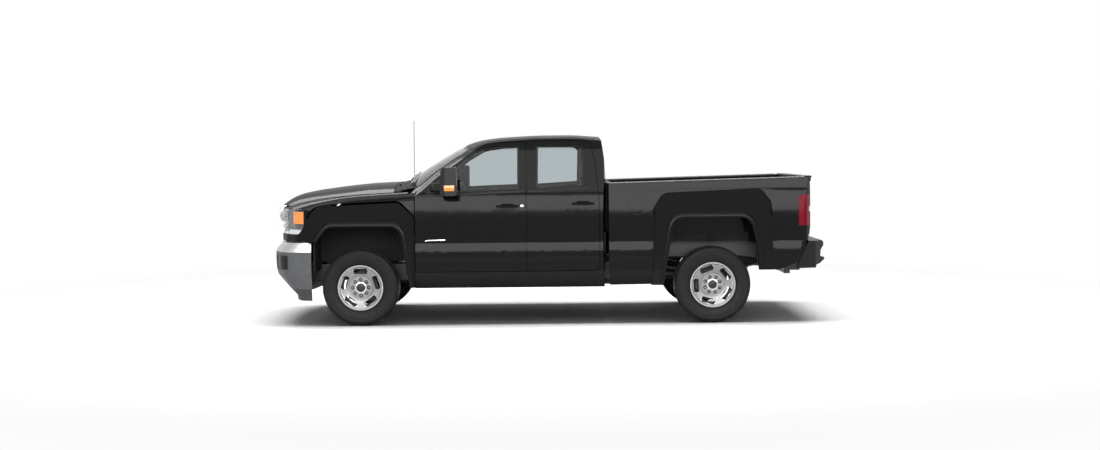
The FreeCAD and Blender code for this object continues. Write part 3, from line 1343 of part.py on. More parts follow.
def build_wheels():
    """Four tyres on five-spoke wheels, each wheel with its hub, cap and brake disc."""
    corners = (
        ("front_left", front_x, -size.front_track / 2, 180, 0),
        ("front_right", front_x, size.front_track / 2, 0, 0),
        ("rear_left", rear_x, -size.rear_track / 2, 180, 21),
        ("rear_right", rear_x, size.rear_track / 2, 0, 21))
    for name, x, y, turn, phase in corners:
        tyre = new_body("tyre_" + name)
        revolve(tyre, tyre_profile())
        rim = new_body("rim_" + name)
        revolve(rim, rim_profile())
        bead, bore, offset = size.bead_radius, size.hub_bore / 2, size.wheel_offset
        window = [(-66, bead - 74), (66, bead - 74), (74, bead - 38), (60, bead - 17), (-60, bead - 17),
                  (-74, bead - 38)]
        cut = pocket(rim, "XZ", offset + 6, size.rim_width / 2 + 10, [window])
        polar(rim, cut, size.spoke_windows)
        recess = pocket(rim, "XZ", offset + 14, offset + 60,
                        circles=[((0, size.lug_circle / 2), size.lug_recess / 2)])
        polar(rim, recess, size.lug_count)
        pad(rim, "XZ", offset - 14, offset + 40, circles=[((0, 0), bore + 1)])
        pad(rim, "XZ", offset - 14, offset + HUB_OVERLAP, circles=[((0, 0), bore + 44)])
        disc_low = offset - 14 - size.disc_thickness
        pad(rim, "XZ", disc_low, offset - 13, circles=[((0, 0), bore + 40)])
        pad(rim, "XZ", disc_low, disc_low + size.disc_thickness * 0.8, circles=[((0, 0), size.disc_radius)])
        for body in (tyre, rim):
            body.Placement = FreeCAD.Placement(
                V(0, 0, 0), FreeCAD.Rotation(V(0, 0, 1), turn) * FreeCAD.Rotation(V(0, 1, 0), phase))
            bind(body, "Placement.Base.x", x)
            bind(body, "Placement.Base.y", y)
            bind(body, "Placement.Base.z", size.tyre_radius)
        pieces["tyre_" + name] = tyre
        pieces["rim_" + name] = rim


def build_knuckles():
    """Steered uprights with their ball-joint bosses, steering arm and brake caliper."""
    pin, hub_z = size.king_pin_half, size.tyre_radius
    low, high = hub_z - 127.7, hub_z + 151.7
    disc_face = size.front_track / 2 + size.wheel_offset - 14 - size.disc_thickness
    for hand, side in (("left", -1), ("right", 1)):
        knuckle = new_body("knuckle_" + hand)

        def across(a, b, side=side):
            return (a, b) if side > 0 else (-b, -a)
        y0, y1 = across(pin - 26, pin + 30)
        pad(knuckle, "XZ", y0, y1, [[
            (front_x - 34, low), (front_x + 34, low), (front_x + 60, hub_z - 30), (front_x + 52, hub_z + 60),
            (front_x + 26, high), (front_x - 26, high), (front_x - 52, hub_z + 60),
            (front_x - 60, hub_z - 30)]])
        y0, y1 = across(pin + 29, disc_face - size.seat_gap)
        pad(knuckle, "XZ", y0, y1, circles=[((front_x, hub_z), 58)])
        y0, y1 = across(pin - 10, pin + 12)
        pad(knuckle, "XZ", y0, y1, [[(front_x + 40, hub_z - 50), (front_x + 150, hub_z - 70),
                                     (front_x + 156, hub_z - 40), (front_x + 50, hub_z + 6)]])
        y0, y1 = across(disc_face - 46, disc_face - 5)
        pad(knuckle, "XZ", y0, y1, [[(front_x - 148, hub_z - 60), (front_x - 70, hub_z - 40),
                                     (front_x - 40, hub_z - 20),
                                     (front_x - 40, hub_z + 20), (front_x - 70, hub_z + 60),
                                     (front_x - 148, hub_z + 70)]])
        y0, y1 = across(pin + 20, disc_face - 40)
        pad(knuckle, "XZ", y0, y1, [box_loop(front_x - 80, front_x - 20, hub_z - 20, hub_z + 20)])
        pieces["knuckle_" + hand] = knuckle


def build_spare():
    """Full-size spare wheel slung flat between the rails behind the axle."""
    body = new_body("spare_wheel")
    radius, half = size.spare_radius, size.spare_half
    bead = size.bead_radius
    profile = [(60, -30), (150, -30), (bead - 20, -86), (bead + 20, -100), (radius - 60, -half),
               (radius - 14, -half + 18),
                      (radius, -half + 44), (radius, half - 44), (radius - 14, half - 18),
               (radius - 60, half),
                      (bead + 20, 100), (bead - 10, 100), (bead - 20, -66), (150, -18), (60, -18)]
    sketch = sketch_on(body, "XZ")
    draw_loop(sketch, profile)
    turned = body.newObject("PartDesign::Revolution", "spare_turned")
    turned.Profile = sketch
    turned.ReferenceAxis = (sketch, ["V_Axis"])
    turned.Angle = 360
    bind(body, "Placement.Base.x", rear_x + 425)
    bind(body, "Placement.Base.z", size.rail_bottom + size.rail_rise - 3)
    pieces["spare_wheel"] = body


def build_rear_bumper():
    """Step bumper with its two tread ledges, wrapped round the bed's corners."""
    x = tail_x
    body = new_body("rear_bumper")
    half = size.side_half - 26
    side_loop = [(x - 322, 560), (x - 310, 616), (x - 198, 846), (x - 46, 846), (x - 18, 828), (x - 14, 792),
                 (x - 56, 742), (x - 60, 668),
                 (x, 660), (x - 2, 640), (x - 66, 604), (x - 116, 596), (x - 124, 566)]
    pad(body, "XZ", -half, half, [side_loop])
    corner_cut = [(x - 132, half + 1), (x + 1, half - 190), (x + 1, half + 1)]
    other = [(a, -b) for a, b in corner_cut]
    pocket(body, "XY", 500, 900, [corner_cut, other])
    pocket(body, "XZ", -half + 60, half - 60,
           [[(x - 340, 540), (x - 330, 800), (x - 110, 800), (x - 110, 640), (x - 150, 540)]])
    pocket(body, "YZ", x - 30, x + 10, [box_loop(-250, 250, 700, 800)])
    pieces["rear_bumper"] = body


def mirror_solid():
    """A tall towing mirror on its arm, for the +Y side."""
    x = float(door_front_x)
    head = side_prism([(x + 278, 1353, 30), (x + 452, 1353, 24), (x + 452, 1640, 24), (x + 290, 1640, 50)],
                      1088, 1300)
    plan = [(x + 270, 1140, 50), (x + 330, 1086, 30), (x + 470, 1086), (x + 470, 1302), (x + 330, 1302, 40),
            (x + 270, 1240, 50)]
    head = head.common(plan_prism(plan, 1300, 1700))
    recess = block(x + 438, x + 480, 1104, 1284, 1371, 1622)
    head = head.cut(recess)
    pane = block(x + 439, x + 444, 1103, 1285, 1370, 1623)
    head = head.fuse(pane)
    arm = plan_prism([(x + 148, 940, 10), (x + 270, 940, 10), (x + 330, 1092, 30), (x + 410, 1092),
                      (x + 410, 1130),
                      (x + 300, 1130, 40), (x + 210, 1090, 60)], 1404, 1478)
    skin = long_solid(side_section(-seat_gap, -seat_gap), -2000, 0)
    sail = side_prism([(x + 130, 1396, 8), (x + 310, 1402, 8), (x + 310, 1470, 30), (x + 250, 1520, 20)], 880,
                      1000)
    sail = sail.common(long_solid(side_section(-14, -14), -2000, 0)).cut(skin)
    arm = arm.cut(skin)
    return one_solid(head.fuse(arm).fuse(sail))


def build_mirrors():
    """Towing mirrors on the front doors."""
    solid = mirror_solid()
    panel("mirror_right", solid)
    panel("mirror_left", mirror_y(solid))


def surface_height(name, x, y):
    """Height of a finished piece's upper face at one place."""
    hits = pieces[name].Shape.common(Part.makeLine(V(x, y, 1000), V(x, y, 1700)))
    return max(point.Z for point in hits.Vertexes)


def build_antenna():
    """A whip antenna on the right fender, its foot cut to the fender's shoulder."""
    x, y = dfx - 168, float(size.side_half) - 156
    foot = fender_top(0)(x, y)
    rod = Part.makeCylinder(3, float(size.antenna_length), V(x, y, foot - 20))
    cone = Part.makeCone(17, 7, 60, V(x, y, foot - 8))
    reach = 40.0
    heights = [surface_height("fenders", x + dx, y + dy) for dx,
               dy in ((-reach, 0), (reach, 0), (0, -reach), (0, reach))]
    slope_x, slope_y = (heights[1] - heights[0]) / 2, (heights[3] - heights[2]) / 2
    middle = max(sum(heights) / 4, surface_height("fenders", x, y)) + seat_gap
    corners = [V(x + a * reach, y + b * reach, middle + a * slope_x + b * slope_y)
               for a, b in ((-1, -1), (1, -1), (1, 1), (-1, 1), (-1, -1))]
    below = Part.Face(Part.makePolygon(corners)).extrude(V(0, 0, -80))
    panel("antenna", one_solid(rod.fuse(cone).cut(below)))


def build_cabin_fittings():
    """Dashboard with column and wheel, front seats and rear bench."""
    dash = new_body("dashboard")
    half = size.side_half - size.door_thickness - size.pillar_thickness - 60
    x = door_front_x
    top = size.belt_height - 12
    wall_x = firewall_x + 40 + size.seat_gap
    pad(dash, "XZ", -half, half, [[(wall_x, top - 90), (x + 230, top - 30), (x + 330, top - 20),
                                   (x + 372, top - 70),
                                  (x + 330, top - 240), (x + 250, top - 420), (wall_x, top - 420)]])
    pieces["dashboard"] = dash
    dash.recompute(True)
    centre = V(float(x) + 530, -390, float(top) - 70)
    tilt = V(-math.cos(math.radians(28)), 0, -math.sin(math.radians(28)))
    ring = Part.makeTorus(178, 15, centre, tilt)
    hub = Part.makeCylinder(58, 40, centre - tilt * 14, tilt)
    column = Part.makeCylinder(34, 250, centre, tilt)
    wheel = ring.fuse(hub).fuse(column)
    for angle in (0, 120, 240):
        spoke = Part.makeBox(178, 26, 16, V(0, -13, -8))
        spoke.Placement = FreeCAD.Placement(centre,
                                            FreeCAD.Rotation(V(0, 0, 1), tilt) * FreeCAD.Rotation(V(0, 0, 1),
                                                                                                  angle + 90))
        wheel = wheel.fuse(spoke)
    wheel = wheel.cut(dash.Shape)
    panel("steering_wheel", one_solid(wheel))
    seat_low = float(cab_floor_top)
    x_seat = float(door_split_x) - 640
    seats = []
    for y in (-420, 420):
        base = block(x_seat, x_seat + 520, y - 255, y + 255, seat_low + 110, seat_low + 330)
        riser = block(x_seat + 60, x_seat + 460, y - 200, y + 200, seat_low, seat_low + 111)
        back = side_prism([(x_seat + 450, seat_low + 329, 20), (x_seat + 590, seat_low + 300, 40),
                           (x_seat + 690, seat_low + 770, 60),
                           (x_seat + 590, seat_low + 780, 50)], y - 250, y + 250)
        rest = side_prism([(x_seat + 600, seat_low + 775, 20), (x_seat + 690, seat_low + 768, 20),
                           (x_seat + 705, seat_low + 960, 40),
                           (x_seat + 615, seat_low + 960, 40)], y - 130, y + 130)
        seats.append(one_solid(base.fuse(riser).fuse(back).fuse(rest)))
    x_rear = float(cab_back_x) - 620
    bench = side_prism([(x_rear, seat_low, 20), (x_rear + 420, seat_low), (x_rear + 524, seat_low + 60),
                        (x_rear + 526, seat_low + 740, 40),
                        (x_rear + 436, seat_low + 750, 40), (x_rear + 376, seat_low + 380, 60),
                        (x_rear + 20, seat_low + 400, 50)],
                       -800, 800)
    bench = bench.common(long_solid(side_section(166, 112), -2000, 1200))
    seats.append(one_solid(bench))
    panel("seats", Part.makeCompound(seats))


build_cab()
build_doors()
build_front_clip()
build_bed()
build_tailgate()
build_tail_lamps()
build_grille()
build_front_bumper()
build_inner_fenders()
build_cowl()
build_frame()
build_driveline()
build_axles()
build_tank_and_exhaust()
build_wheels()
build_knuckles()
build_spare()
build_rear_bumper()
build_mirrors()
build_antenna()
build_cabin_fittings()

# only the last feature of each body has its split faces joined, which keeps the build quick
for item in pieces.values():
    if item.TypeId == "PartDesign::Body":
        item.Tip.Refine = True
doc.recompute()
for item in doc.Objects:
    state = [word for word in item.State if word in ("Invalid", "Error")]
    if state:
        raise RuntimeError("%s failed: %s" % (item.Name, state))
for label, item in pieces.items():
    shape = item.Shape
    if shape.isNull() or not shape.isValid() or not shape.Solids:
        raise RuntimeError("%s has no valid shape" % label)
os.makedirs("parts", exist_ok=True)
for label, item in pieces.items():
    item.Shape.exportStep("parts/%s.step" % label)
    box = item.Shape.BoundBox
    print(label, len(item.Shape.Solids), round(item.Shape.Volume / 1e6, 2), box)
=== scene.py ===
import json
import math

import bmesh
import bpy
from bpy.props import FloatProperty, FloatVectorProperty, IntProperty, PointerProperty
from mathutils import Matrix, Vector
from mathutils.bvhtree import BVHTree


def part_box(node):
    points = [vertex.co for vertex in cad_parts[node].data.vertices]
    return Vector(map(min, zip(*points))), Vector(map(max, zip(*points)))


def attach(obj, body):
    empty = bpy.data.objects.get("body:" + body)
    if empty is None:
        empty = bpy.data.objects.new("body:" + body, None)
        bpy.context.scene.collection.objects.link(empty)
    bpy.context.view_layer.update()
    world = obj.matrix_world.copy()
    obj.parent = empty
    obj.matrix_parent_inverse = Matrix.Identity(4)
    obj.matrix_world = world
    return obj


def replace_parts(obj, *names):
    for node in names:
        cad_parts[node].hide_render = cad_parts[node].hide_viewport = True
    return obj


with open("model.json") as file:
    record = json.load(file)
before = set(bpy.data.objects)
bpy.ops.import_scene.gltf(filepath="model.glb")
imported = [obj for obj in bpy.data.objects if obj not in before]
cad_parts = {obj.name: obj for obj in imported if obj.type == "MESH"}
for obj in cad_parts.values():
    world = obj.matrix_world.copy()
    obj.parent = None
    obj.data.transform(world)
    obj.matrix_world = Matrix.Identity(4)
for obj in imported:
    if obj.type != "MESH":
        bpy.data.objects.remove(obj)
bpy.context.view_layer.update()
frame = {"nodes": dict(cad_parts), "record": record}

bl_info = {
    "name": "Pickup truck finish",
    "version": (1, 0, 0),
    "blender": (4, 5, 0),
    "location": "3D View > Sidebar > Truck",
    "description": "Dresses the frame of a dark pickup truck with finishes, seals, tread, lamps and seats",
    "category": "Object",
}

NODES = frame["nodes"]
BODY_OF = {node: body for body, nodes in frame["record"]["behaviour"]["bodies"].items() for node in nodes}
SIDES = (("left", -1), ("right", 1))
CORNERS = ("front_left", "front_right", "rear_left", "rear_right")
SHARP_ANGLE = math.radians(32)
ORIGIN, UP = (0, 0, 0), (0, 0, 1)
WHITE = (1, 1, 1, 1)
FLOOR_SEEN, AMBIENT = 0.98, 0.26
DUST = (0.10, 0.095, 0.085)

# Where the dressed details sit, in metres and degrees

KEY_LOCK = (-0.253, 1.234)
SPEAR = ((-1.262, 0.877), (-1.232, 0.883), (-1.052, 0.887))
BELT = {"front": ((-1.338, 1.344), (-1.271, 1.346), (-0.281, 1.383), (-0.222, 1.385)),
        "rear": ((-0.192, 1.383), (-0.112, 1.384), (0.385, 1.412), (0.448, 1.415))}
SEAT_CENTRES = (-0.42, 0.42)
SILL_LINE = 0.552
BAR_TOP = 1.002
AMBER_FROM_X, AMBER_LOW, AMBER_HIGH = -2.640, 1.065, 1.190
REVERSE_FROM_X, REVERSE_LOW, REVERSE_HIGH = 2.738, 1.150, 1.205
NUT_CIRCLE, REAR_PHASE = 0.08255, 21
PLATE_HEIGHT = 0.752
ARMREST_WALL = 0.8635
SEAM_DEPTH = 0.018
SEAT_LEAN, BENCH_LEAN, DASH_LEAN = -13, -7, -12
HUBS = {"front": -1.938, "rear": 1.725}
ARCHES = {"front": ((-0.449, 0.872), (-0.336, 1.026, 0.11), (0.408, 1.026, 0.11), (0.514, 0.41)),
          "rear": ((-0.5135, 0.404), (-0.402, 1.094, 0.11), (0.386, 1.094, 0.12), (0.464, 0.77, 0.3),
                   (0.482, 0.56))}


class TruckPaint(bpy.types.PropertyGroup):
    """Colours of the painted and moulded surfaces."""

    body: FloatVectorProperty(
        name="Body colour", description="Base colour of the body paint", subtype="COLOR", size=3,
        min=0, max=1, default=(0.0034, 0.0036, 0.0038))
    cover: FloatVectorProperty(
        name="Bumper cover colour", description="Colour of the grained bumper cover", subtype="COLOR", size=3,
        min=0, max=1, default=(0.080, 0.082, 0.088))
    trim: FloatVectorProperty(
        name="Trim colour", description="Colour of seals, wipers and mirror housings", subtype="COLOR",
        size=3, min=0, max=1, default=(0.012, 0.012, 0.013))
    cloth: FloatVectorProperty(
        name="Seat cloth colour", description="Colour of the woven seat covers", subtype="COLOR", size=3,
        min=0, max=1, default=(0.17, 0.17, 0.175))
    tint: FloatVectorProperty(
        name="Glass tint", description="Colour of light that has passed one pane", subtype="COLOR", size=3,
        min=0, max=1, default=(0.62, 0.66, 0.67))


class TruckTread(bpy.types.PropertyGroup):
    """Pattern of the tyres."""

    steps: IntProperty(name="Steps round the tyre", description="Divisions of the tread round the tyre",
                       default=168, min=48, max=240)
    groove: FloatProperty(name="Groove depth", description="Depth of the tread's grooves", subtype="DISTANCE",
                          unit="LENGTH", default=0.009, min=0.002, max=0.015)


class TruckStage(bpy.types.PropertyGroup):
    """The pale floor and its soft light."""

    floor: FloatProperty(name="Floor size", description="Side of the square floor", subtype="DISTANCE",
                         unit="LENGTH", default=240.0, min=20.0)
    key: FloatProperty(name="Overhead light", description="Power of the large light overhead",
                       default=420.0, min=0.0)
    fill: FloatProperty(name="Side light", description="Power of each light at the sides",
                        default=2200.0, min=0.0)


# Node trees

def add(tree, kind, links=None, **settings):
    """A shader node with its settings, and its sockets linked or set by name or number."""
    item = tree.nodes.new(kind)
    for key, value in settings.items():
        setattr(item, key, value)
    for key, value in (links or {}).items():
        socket = item.inputs[key]
        if isinstance(value, bpy.types.NodeSocket):
            tree.links.new(value, socket)
        else:
            socket.default_value = value
    return item


def spread(tree, value, from_low, from_high, to_low, to_high, **settings):
    """A value stretched from one range to another."""
    ends = {"From Min": from_low, "From Max": from_high, "To Min": to_low, "To Max": to_high}
    return add(tree, "ShaderNodeMapRange", {"Value": value, **ends}, **settings).outputs["Result"]


def combined(tree, operation, first, second):
    """Two values put together by an operation."""
    return add(tree, "ShaderNodeMath", {0: first, 1: second}, operation=operation).outputs["Value"]


def bumped(tree, height, depth, strength):
    """A normal that follows a height."""
    bump = add(tree, "ShaderNodeBump", {"Height": height, "Distance": depth, "Strength": strength})
    return bump.outputs["Normal"]


def mixed(tree, share, first, second):
    """Two shaders mixed by a share."""
    return add(tree, "ShaderNodeMixShader", {0: share, 1: first, 2: second}).outputs["Shader"]


def bare_tree(owner):
    """The emptied node tree of a material or a world."""
    owner.use_nodes = True
    owner.node_tree.nodes.clear()
    return owner.node_tree


def new_group(name, inputs, outputs):
    """A shader node group with its named sockets; returns the tree and its two end nodes."""
    tree = bpy.data.node_groups.new(name, "ShaderNodeTree")
    for label, kind, default in inputs:
        socket = tree.interface.new_socket(name=label, in_out="INPUT", socket_type="NodeSocket" + kind)
        if default is not None:
            socket.default_value = default
    for label, kind in outputs:
        tree.interface.new_socket(name=label, in_out="OUTPUT", socket_type="NodeSocket" + kind)
    return tree, tree.nodes.new("NodeGroupInput"), tree.nodes.new("NodeGroupOutput")


def build_groups():
    """The effects that several finishes share."""
    tree, given, result = new_group("uneven_tone", [
        ("Vector", "Vector", None), ("Scale", "Float", 6.0), ("Low", "Float", 0.9), ("High", "Float", 1.1),
    ], [("Factor", "Float")])
    where = {"Vector": given.outputs["Vector"], "Scale": given.outputs["Scale"]}
    noise = add(tree, "ShaderNodeTexNoise", {**where, "Detail": 4.0, "Roughness": 0.6})
    tone = spread(tree, noise.outputs["Fac"], 0.3, 0.7, given.outputs["Low"], given.outputs["High"])
    tree.links.new(tone, result.inputs["Factor"])

    # A mask that rises towards the bottom: road dust for most finishes, and painted shade on the body paint.
    tree, given, result = new_group("road_film_and_shade", [
        ("Vector", "Vector", None), ("Height", "Float", 0.9), ("Amount", "Float", 0.5),
    ], [("Mask", "Float")])
    parts = add(tree, "ShaderNodeSeparateXYZ", {"Vector": given.outputs["Vector"]})
    low = spread(tree, parts.outputs["Z"], given.outputs["Height"], 0.1, 0.0, 1.0)
    noise = add(tree, "ShaderNodeTexNoise", {"Vector": given.outputs["Vector"], "Scale": 4.0, "Detail": 6.0})
    cover = combined(tree, "MULTIPLY", low, spread(tree, noise.outputs["Fac"], 0.25, 0.75, 0.35, 1.0))
    tree.links.new(combined(tree, "MULTIPLY", cover, given.outputs["Amount"]), result.inputs["Mask"])

    tree, given, result = new_group("moulded_grain", [
        ("Vector", "Vector", None), ("Scale", "Float", 900.0), ("Depth", "Float", 0.0002),
        ("Strength", "Float", 0.4),
    ], [("Normal", "Vector")])
    where = {"Vector": given.outputs["Vector"], "Scale": given.outputs["Scale"]}
    cells = add(tree, "ShaderNodeTexVoronoi", where, feature="SMOOTH_F1")
    bump = bumped(tree, cells.outputs["Distance"], given.outputs["Depth"], given.outputs["Strength"])
    tree.links.new(bump, result.inputs["Normal"])

    tree, given, result = new_group("plain_weave", [
        ("Vector", "Vector", None), ("Scale", "Float", 420.0),
    ], [("Height", "Float"), ("Thread", "Float")])
    where = {"Vector": given.outputs["Vector"], "Scale": given.outputs["Scale"]}
    heights = []
    for axis in "XYZ":
        bands = add(tree, "ShaderNodeTexWave", {**where, "Distortion": 0.6, "Detail": 1.0},
                    wave_type="BANDS", bands_direction=axis)
        heights.append(bands.outputs["Fac"])
    whole = combined(tree, "ADD", combined(tree, "MULTIPLY", heights[0], heights[1]), heights[2])
    tree.links.new(whole, result.inputs["Height"])
    tree.links.new(spread(tree, whole, 0.0, 1.6, 0.72, 1.15), result.inputs["Thread"])


class Finish:
    """A material being built: its tree, its shader and its object coordinates."""

    def __init__(self, name, **values):
        self.tree = bare_tree(bpy.data.materials.new(name))
        self.out = self.tree.nodes.new("ShaderNodeOutputMaterial")
        self.shader = self.tree.nodes.new("ShaderNodeBsdfPrincipled")
        self.tree.links.new(self.shader.outputs["BSDF"], self.out.inputs["Surface"])
        self.place = add(self.tree, "ShaderNodeTexCoord").outputs["Object"]
        for key, value in values.items():
            self.shader.inputs[key.replace("_", " ")].default_value = value

    def use(self, group, **values):
        """A shared effect in the object's own coordinates."""
        item = add(self.tree, "ShaderNodeGroup", node_tree=bpy.data.node_groups[group])
        self.tree.links.new(self.place, item.inputs["Vector"])
        for key, value in values.items():
            item.inputs[key].default_value = value
        return item

    def link(self, output, name):
        """Drive an input of the shader."""
        self.tree.links.new(output, self.shader.inputs[name])

    def toned(self, colour, scale=6.0, low=0.85, high=1.15):
        """The colour, uneven by a noise of the scale."""
        tone = self.use("uneven_tone", Scale=scale, Low=low, High=high)
        return add(self.tree, "ShaderNodeVectorMath", {0: tuple(colour[:3]), "Scale": tone.outputs["Factor"]},
                   operation="SCALE").outputs["Vector"]

    def dusted(self, colour, dust, height, amount):
        """The colour under a film of road dust that thins out upwards, and the film's mask, which the body
        paint also uses for painted shade.
        """
        film_and_shade = self.use("road_film_and_shade", Height=height, Amount=amount)
        mix = add(self.tree, "ShaderNodeMix", {"Factor": film_and_shade.outputs["Mask"]}, data_type="RGBA")
        self.tree.links.new(colour, mix.inputs["A"])
        mix.inputs["B"].default_value = (*dust, 1)
        return mix.outputs["Result"], film_and_shade.outputs["Mask"]

    def rough(self, low, high, scale):
        """Roughness that wanders between two values."""
        tone = self.use("uneven_tone", Scale=scale, Low=low, High=high)
        self.link(tone.outputs["Factor"], "Roughness")

    def grain(self, scale, depth, strength=0.5):
        """A moulded or cast grain as bump."""
        item = self.use("moulded_grain", Scale=scale, Depth=depth, Strength=strength)
        self.link(item.outputs["Normal"], "Normal")


def paint_finish(name, colour, film_and_shade):
    """Dark paint under clear lacquer, a little dusty low down, its lacquer thinned towards the bottom as
    painted shade that dulls the reflections there.
    """
    finish = Finish(name, Coat_Roughness=0.1, Coat_IOR=1.45, Specular_IOR_Level=0.0)
    base, dust_and_shade_mask = finish.dusted(finish.toned(colour, 1400.0, 0.8, 1.25), (0.02, 0.02, 0.019), 0.9, film_and_shade)
    finish.link(base, "Base Color")
    finish.rough(0.34, 0.42, 500.0)
    # Less lacquer where the mask is high: painted shade that darkens the reflections on the lower body.
    finish.link(spread(finish.tree, dust_and_shade_mask, 0.0, 1.0, 0.32, 0.14), "Coat Weight")


def plastic_finish(name, colour, rough, grain=(700.0, 0.0004), dust=None, shine=0.25):
    """Moulded plastic or rubber with a fine grain; dust is the height it thins out at and its amount."""
    finish = Finish(name, Specular_IOR_Level=shine)
    base = finish.toned(colour, 14.0, 0.9, 1.1)
    if dust:
        base, _ = finish.dusted(base, DUST, *dust)
    finish.link(base, "Base Color")
    finish.rough(rough - 0.05, rough + 0.06, 30.0)
    finish.grain(*grain)


def metal_finish(name, colour, rough, grain=None, dust=None, metallic=1.0, uneven=(0.92, 1.06)):
    """Bare, plated or painted metal, uneven in tone and gloss."""
    finish = Finish(name, Metallic=metallic, Specular_IOR_Level=0.2)
    base = finish.toned(colour, 5.0, *uneven)
    if dust:
        base, _ = finish.dusted(base, DUST, *dust)
    finish.link(base, "Base Color")
    finish.rough(rough * 0.8, rough * 1.25, 16.0)
    if grain:
        finish.grain(*grain)


def glass_finish(name, tint, rough=0.0):
    """See-through glass whose shadow stays light."""
    finish = Finish(name, Transmission_Weight=1.0, Roughness=rough, IOR=1.25, Base_Color=(*tint, 1))
    shadow = add(finish.tree, "ShaderNodeLightPath").outputs["Is Shadow Ray"]
    clear = add(finish.tree, "ShaderNodeBsdfTransparent", {"Color": (*[c ** 0.5 for c in tint], 1)})
    mix = mixed(finish.tree, shadow, finish.shader.outputs["BSDF"], clear.outputs["BSDF"])
    finish.tree.links.new(mix, finish.out.inputs["Surface"])
    return finish


def lens_bars(finish, axis, scale, depth):
    """Moulded flutes of a lamp lens as bump."""
    bands = add(finish.tree, "ShaderNodeTexWave", {"Vector": finish.place, "Scale": scale},
                wave_type="BANDS", bands_direction=axis)
    finish.link(bumped(finish.tree, bands.outputs["Fac"], depth, 0.2), "Normal")


def build_finishes(paint):
    """Every material of the truck, by its plain name."""
    paint_finish("body_paint", paint.body, 0.55)
    plastic_finish("bumper_cover_plastic", paint.cover, 0.55, (520.0, 0.0008), (0.55, 0.3))
    plastic_finish("valance_plastic", [c * 0.52 for c in paint.cover], 0.6, (520.0, 0.0008), (0.5, 0.35))
    plastic_finish("black_trim", paint.trim, 0.42)
    plastic_finish("step_pad_rubber", (0.016, 0.016, 0.016), 0.7, (300.0, 0.001), (1.2, 0.2))
    plastic_finish("mirror_housing", (0.010, 0.010, 0.011), 0.4, (800.0, 0.0003))
    plastic_finish("cabin_plastic", (0.032, 0.032, 0.034), 0.55, (900.0, 0.0004))
    plastic_finish("cabin_dark_plastic", (0.022, 0.022, 0.024), 0.45, (900.0, 0.0004))
    plastic_finish("headlining", (0.33, 0.33, 0.32), 0.9, (1500.0, 0.0004))
    plastic_finish("carpet", (0.03, 0.03, 0.031), 0.95, (450.0, 0.003))
    plastic_finish("liner_plastic", (0.012, 0.012, 0.012), 0.75, (260.0, 0.0012), (0.9, 0.2), 0.12)
    plastic_finish("window_rubber", (0.005, 0.005, 0.005), 0.5, (1200.0, 0.0002))
    plastic_finish("sill_black", (0.005, 0.005, 0.005), 0.6, (400.0, 0.0006), None, 0.12)
    plastic_finish("wheel_cap_plastic", (0.02, 0.02, 0.021), 0.3, (1100.0, 0.0001))
    metal_finish("chrome", (0.62, 0.63, 0.64), 0.08)
    metal_finish("satin_chrome", (0.46, 0.47, 0.475), 0.3)
    metal_finish("polished_alloy", (0.38, 0.385, 0.39), 0.2, (40.0, 0.0002, 0.15), (0.5, 0.12))
    metal_finish("spoke_paint", (0.21, 0.213, 0.217), 0.34, (900.0, 0.0002, 0.25), (0.5, 0.2), 0.75)
    # Near-black finish for the wheel's recesses and inner barrel: painted shade.
    metal_finish("wheel_recess_painted_shade", (0.035, 0.035, 0.037), 0.5, None, (0.6, 0.35), 0.4)
    metal_finish("brake_iron", (0.10, 0.095, 0.09), 0.4, (60.0, 0.0005, 0.3), (0.7, 0.3), 0.9)
    metal_finish("chassis_black", (0.016, 0.016, 0.017), 0.5, (160.0, 0.0008, 0.5), (0.8, 0.3), 0.0,
                 (0.7, 1.3))
    metal_finish("cast_iron", (0.075, 0.07, 0.066), 0.7, (120.0, 0.0016, 0.7), (0.8, 0.5), 0.6, (0.6, 1.35))
    metal_finish("spring_steel", (0.035, 0.032, 0.030), 0.6, (180.0, 0.0006, 0.5), (0.9, 0.5), 0.4,
                 (0.6, 1.4))
    metal_finish("exhaust_steel", (0.32, 0.29, 0.26), 0.42, (50.0, 0.0005, 0.3), (0.7, 0.35), 0.9,
                 (0.65, 1.2))
    metal_finish("zinc_nuts", (0.38, 0.38, 0.37), 0.3)
    metal_finish("mirror_silver", (0.86, 0.88, 0.89), 0.02)
    metal_finish("lamp_reflector", (0.40, 0.41, 0.42), 0.2)
    metal_finish("lamp_bowl", (0.13, 0.13, 0.135), 0.25)
    plastic_finish("antenna_black", (0.03, 0.028, 0.03), 0.6)
    plastic_finish("step_bumper_black", (0.010, 0.010, 0.011), 0.45, (300.0, 0.0006), None, 0.1)
    glass_finish("side_glass", paint.tint)
    glass_finish("windscreen_glass", [c * 0.45 for c in paint.tint])
    lens_bars(glass_finish("clear_lens", (0.95, 0.96, 0.97), 0.02), "Z", 60.0, 0.0002)
    red = Finish("red_lens", Base_Color=(0.15, 0.0005, 0.008, 1), Roughness=0.2, Coat_Weight=0.05,
                 Coat_Roughness=0.05, Specular_IOR_Level=0.06)
    lens_bars(red, "Z", 70.0, 0.0008)
    pale = Finish("reverse_lens", Base_Color=(0.62, 0.60, 0.60, 1), Roughness=0.1, Coat_Weight=1.0)
    lens_bars(pale, "Z", 90.0, 0.001)
    amber = Finish("amber_marker", Base_Color=(0.80, 0.24, 0.015, 1), Roughness=0.15, Coat_Weight=1.0)
    lens_bars(amber, "Y", 90.0, 0.0008)
    build_tyre_rubber()
    build_cloth(paint.cloth)


def build_tyre_rubber():
    """Black rubber with a fine grain, browner with dust."""
    finish = Finish("tyre_rubber", Specular_IOR_Level=0.16)
    tone = finish.toned((0.006, 0.006, 0.0065), 12.0, 0.85, 1.2)
    base, _ = finish.dusted(tone, (0.03, 0.028, 0.026), 0.7, 0.2)
    finish.link(base, "Base Color")
    finish.rough(0.42, 0.58, 20.0)
    finish.grain(260.0, 0.0006, 0.4)


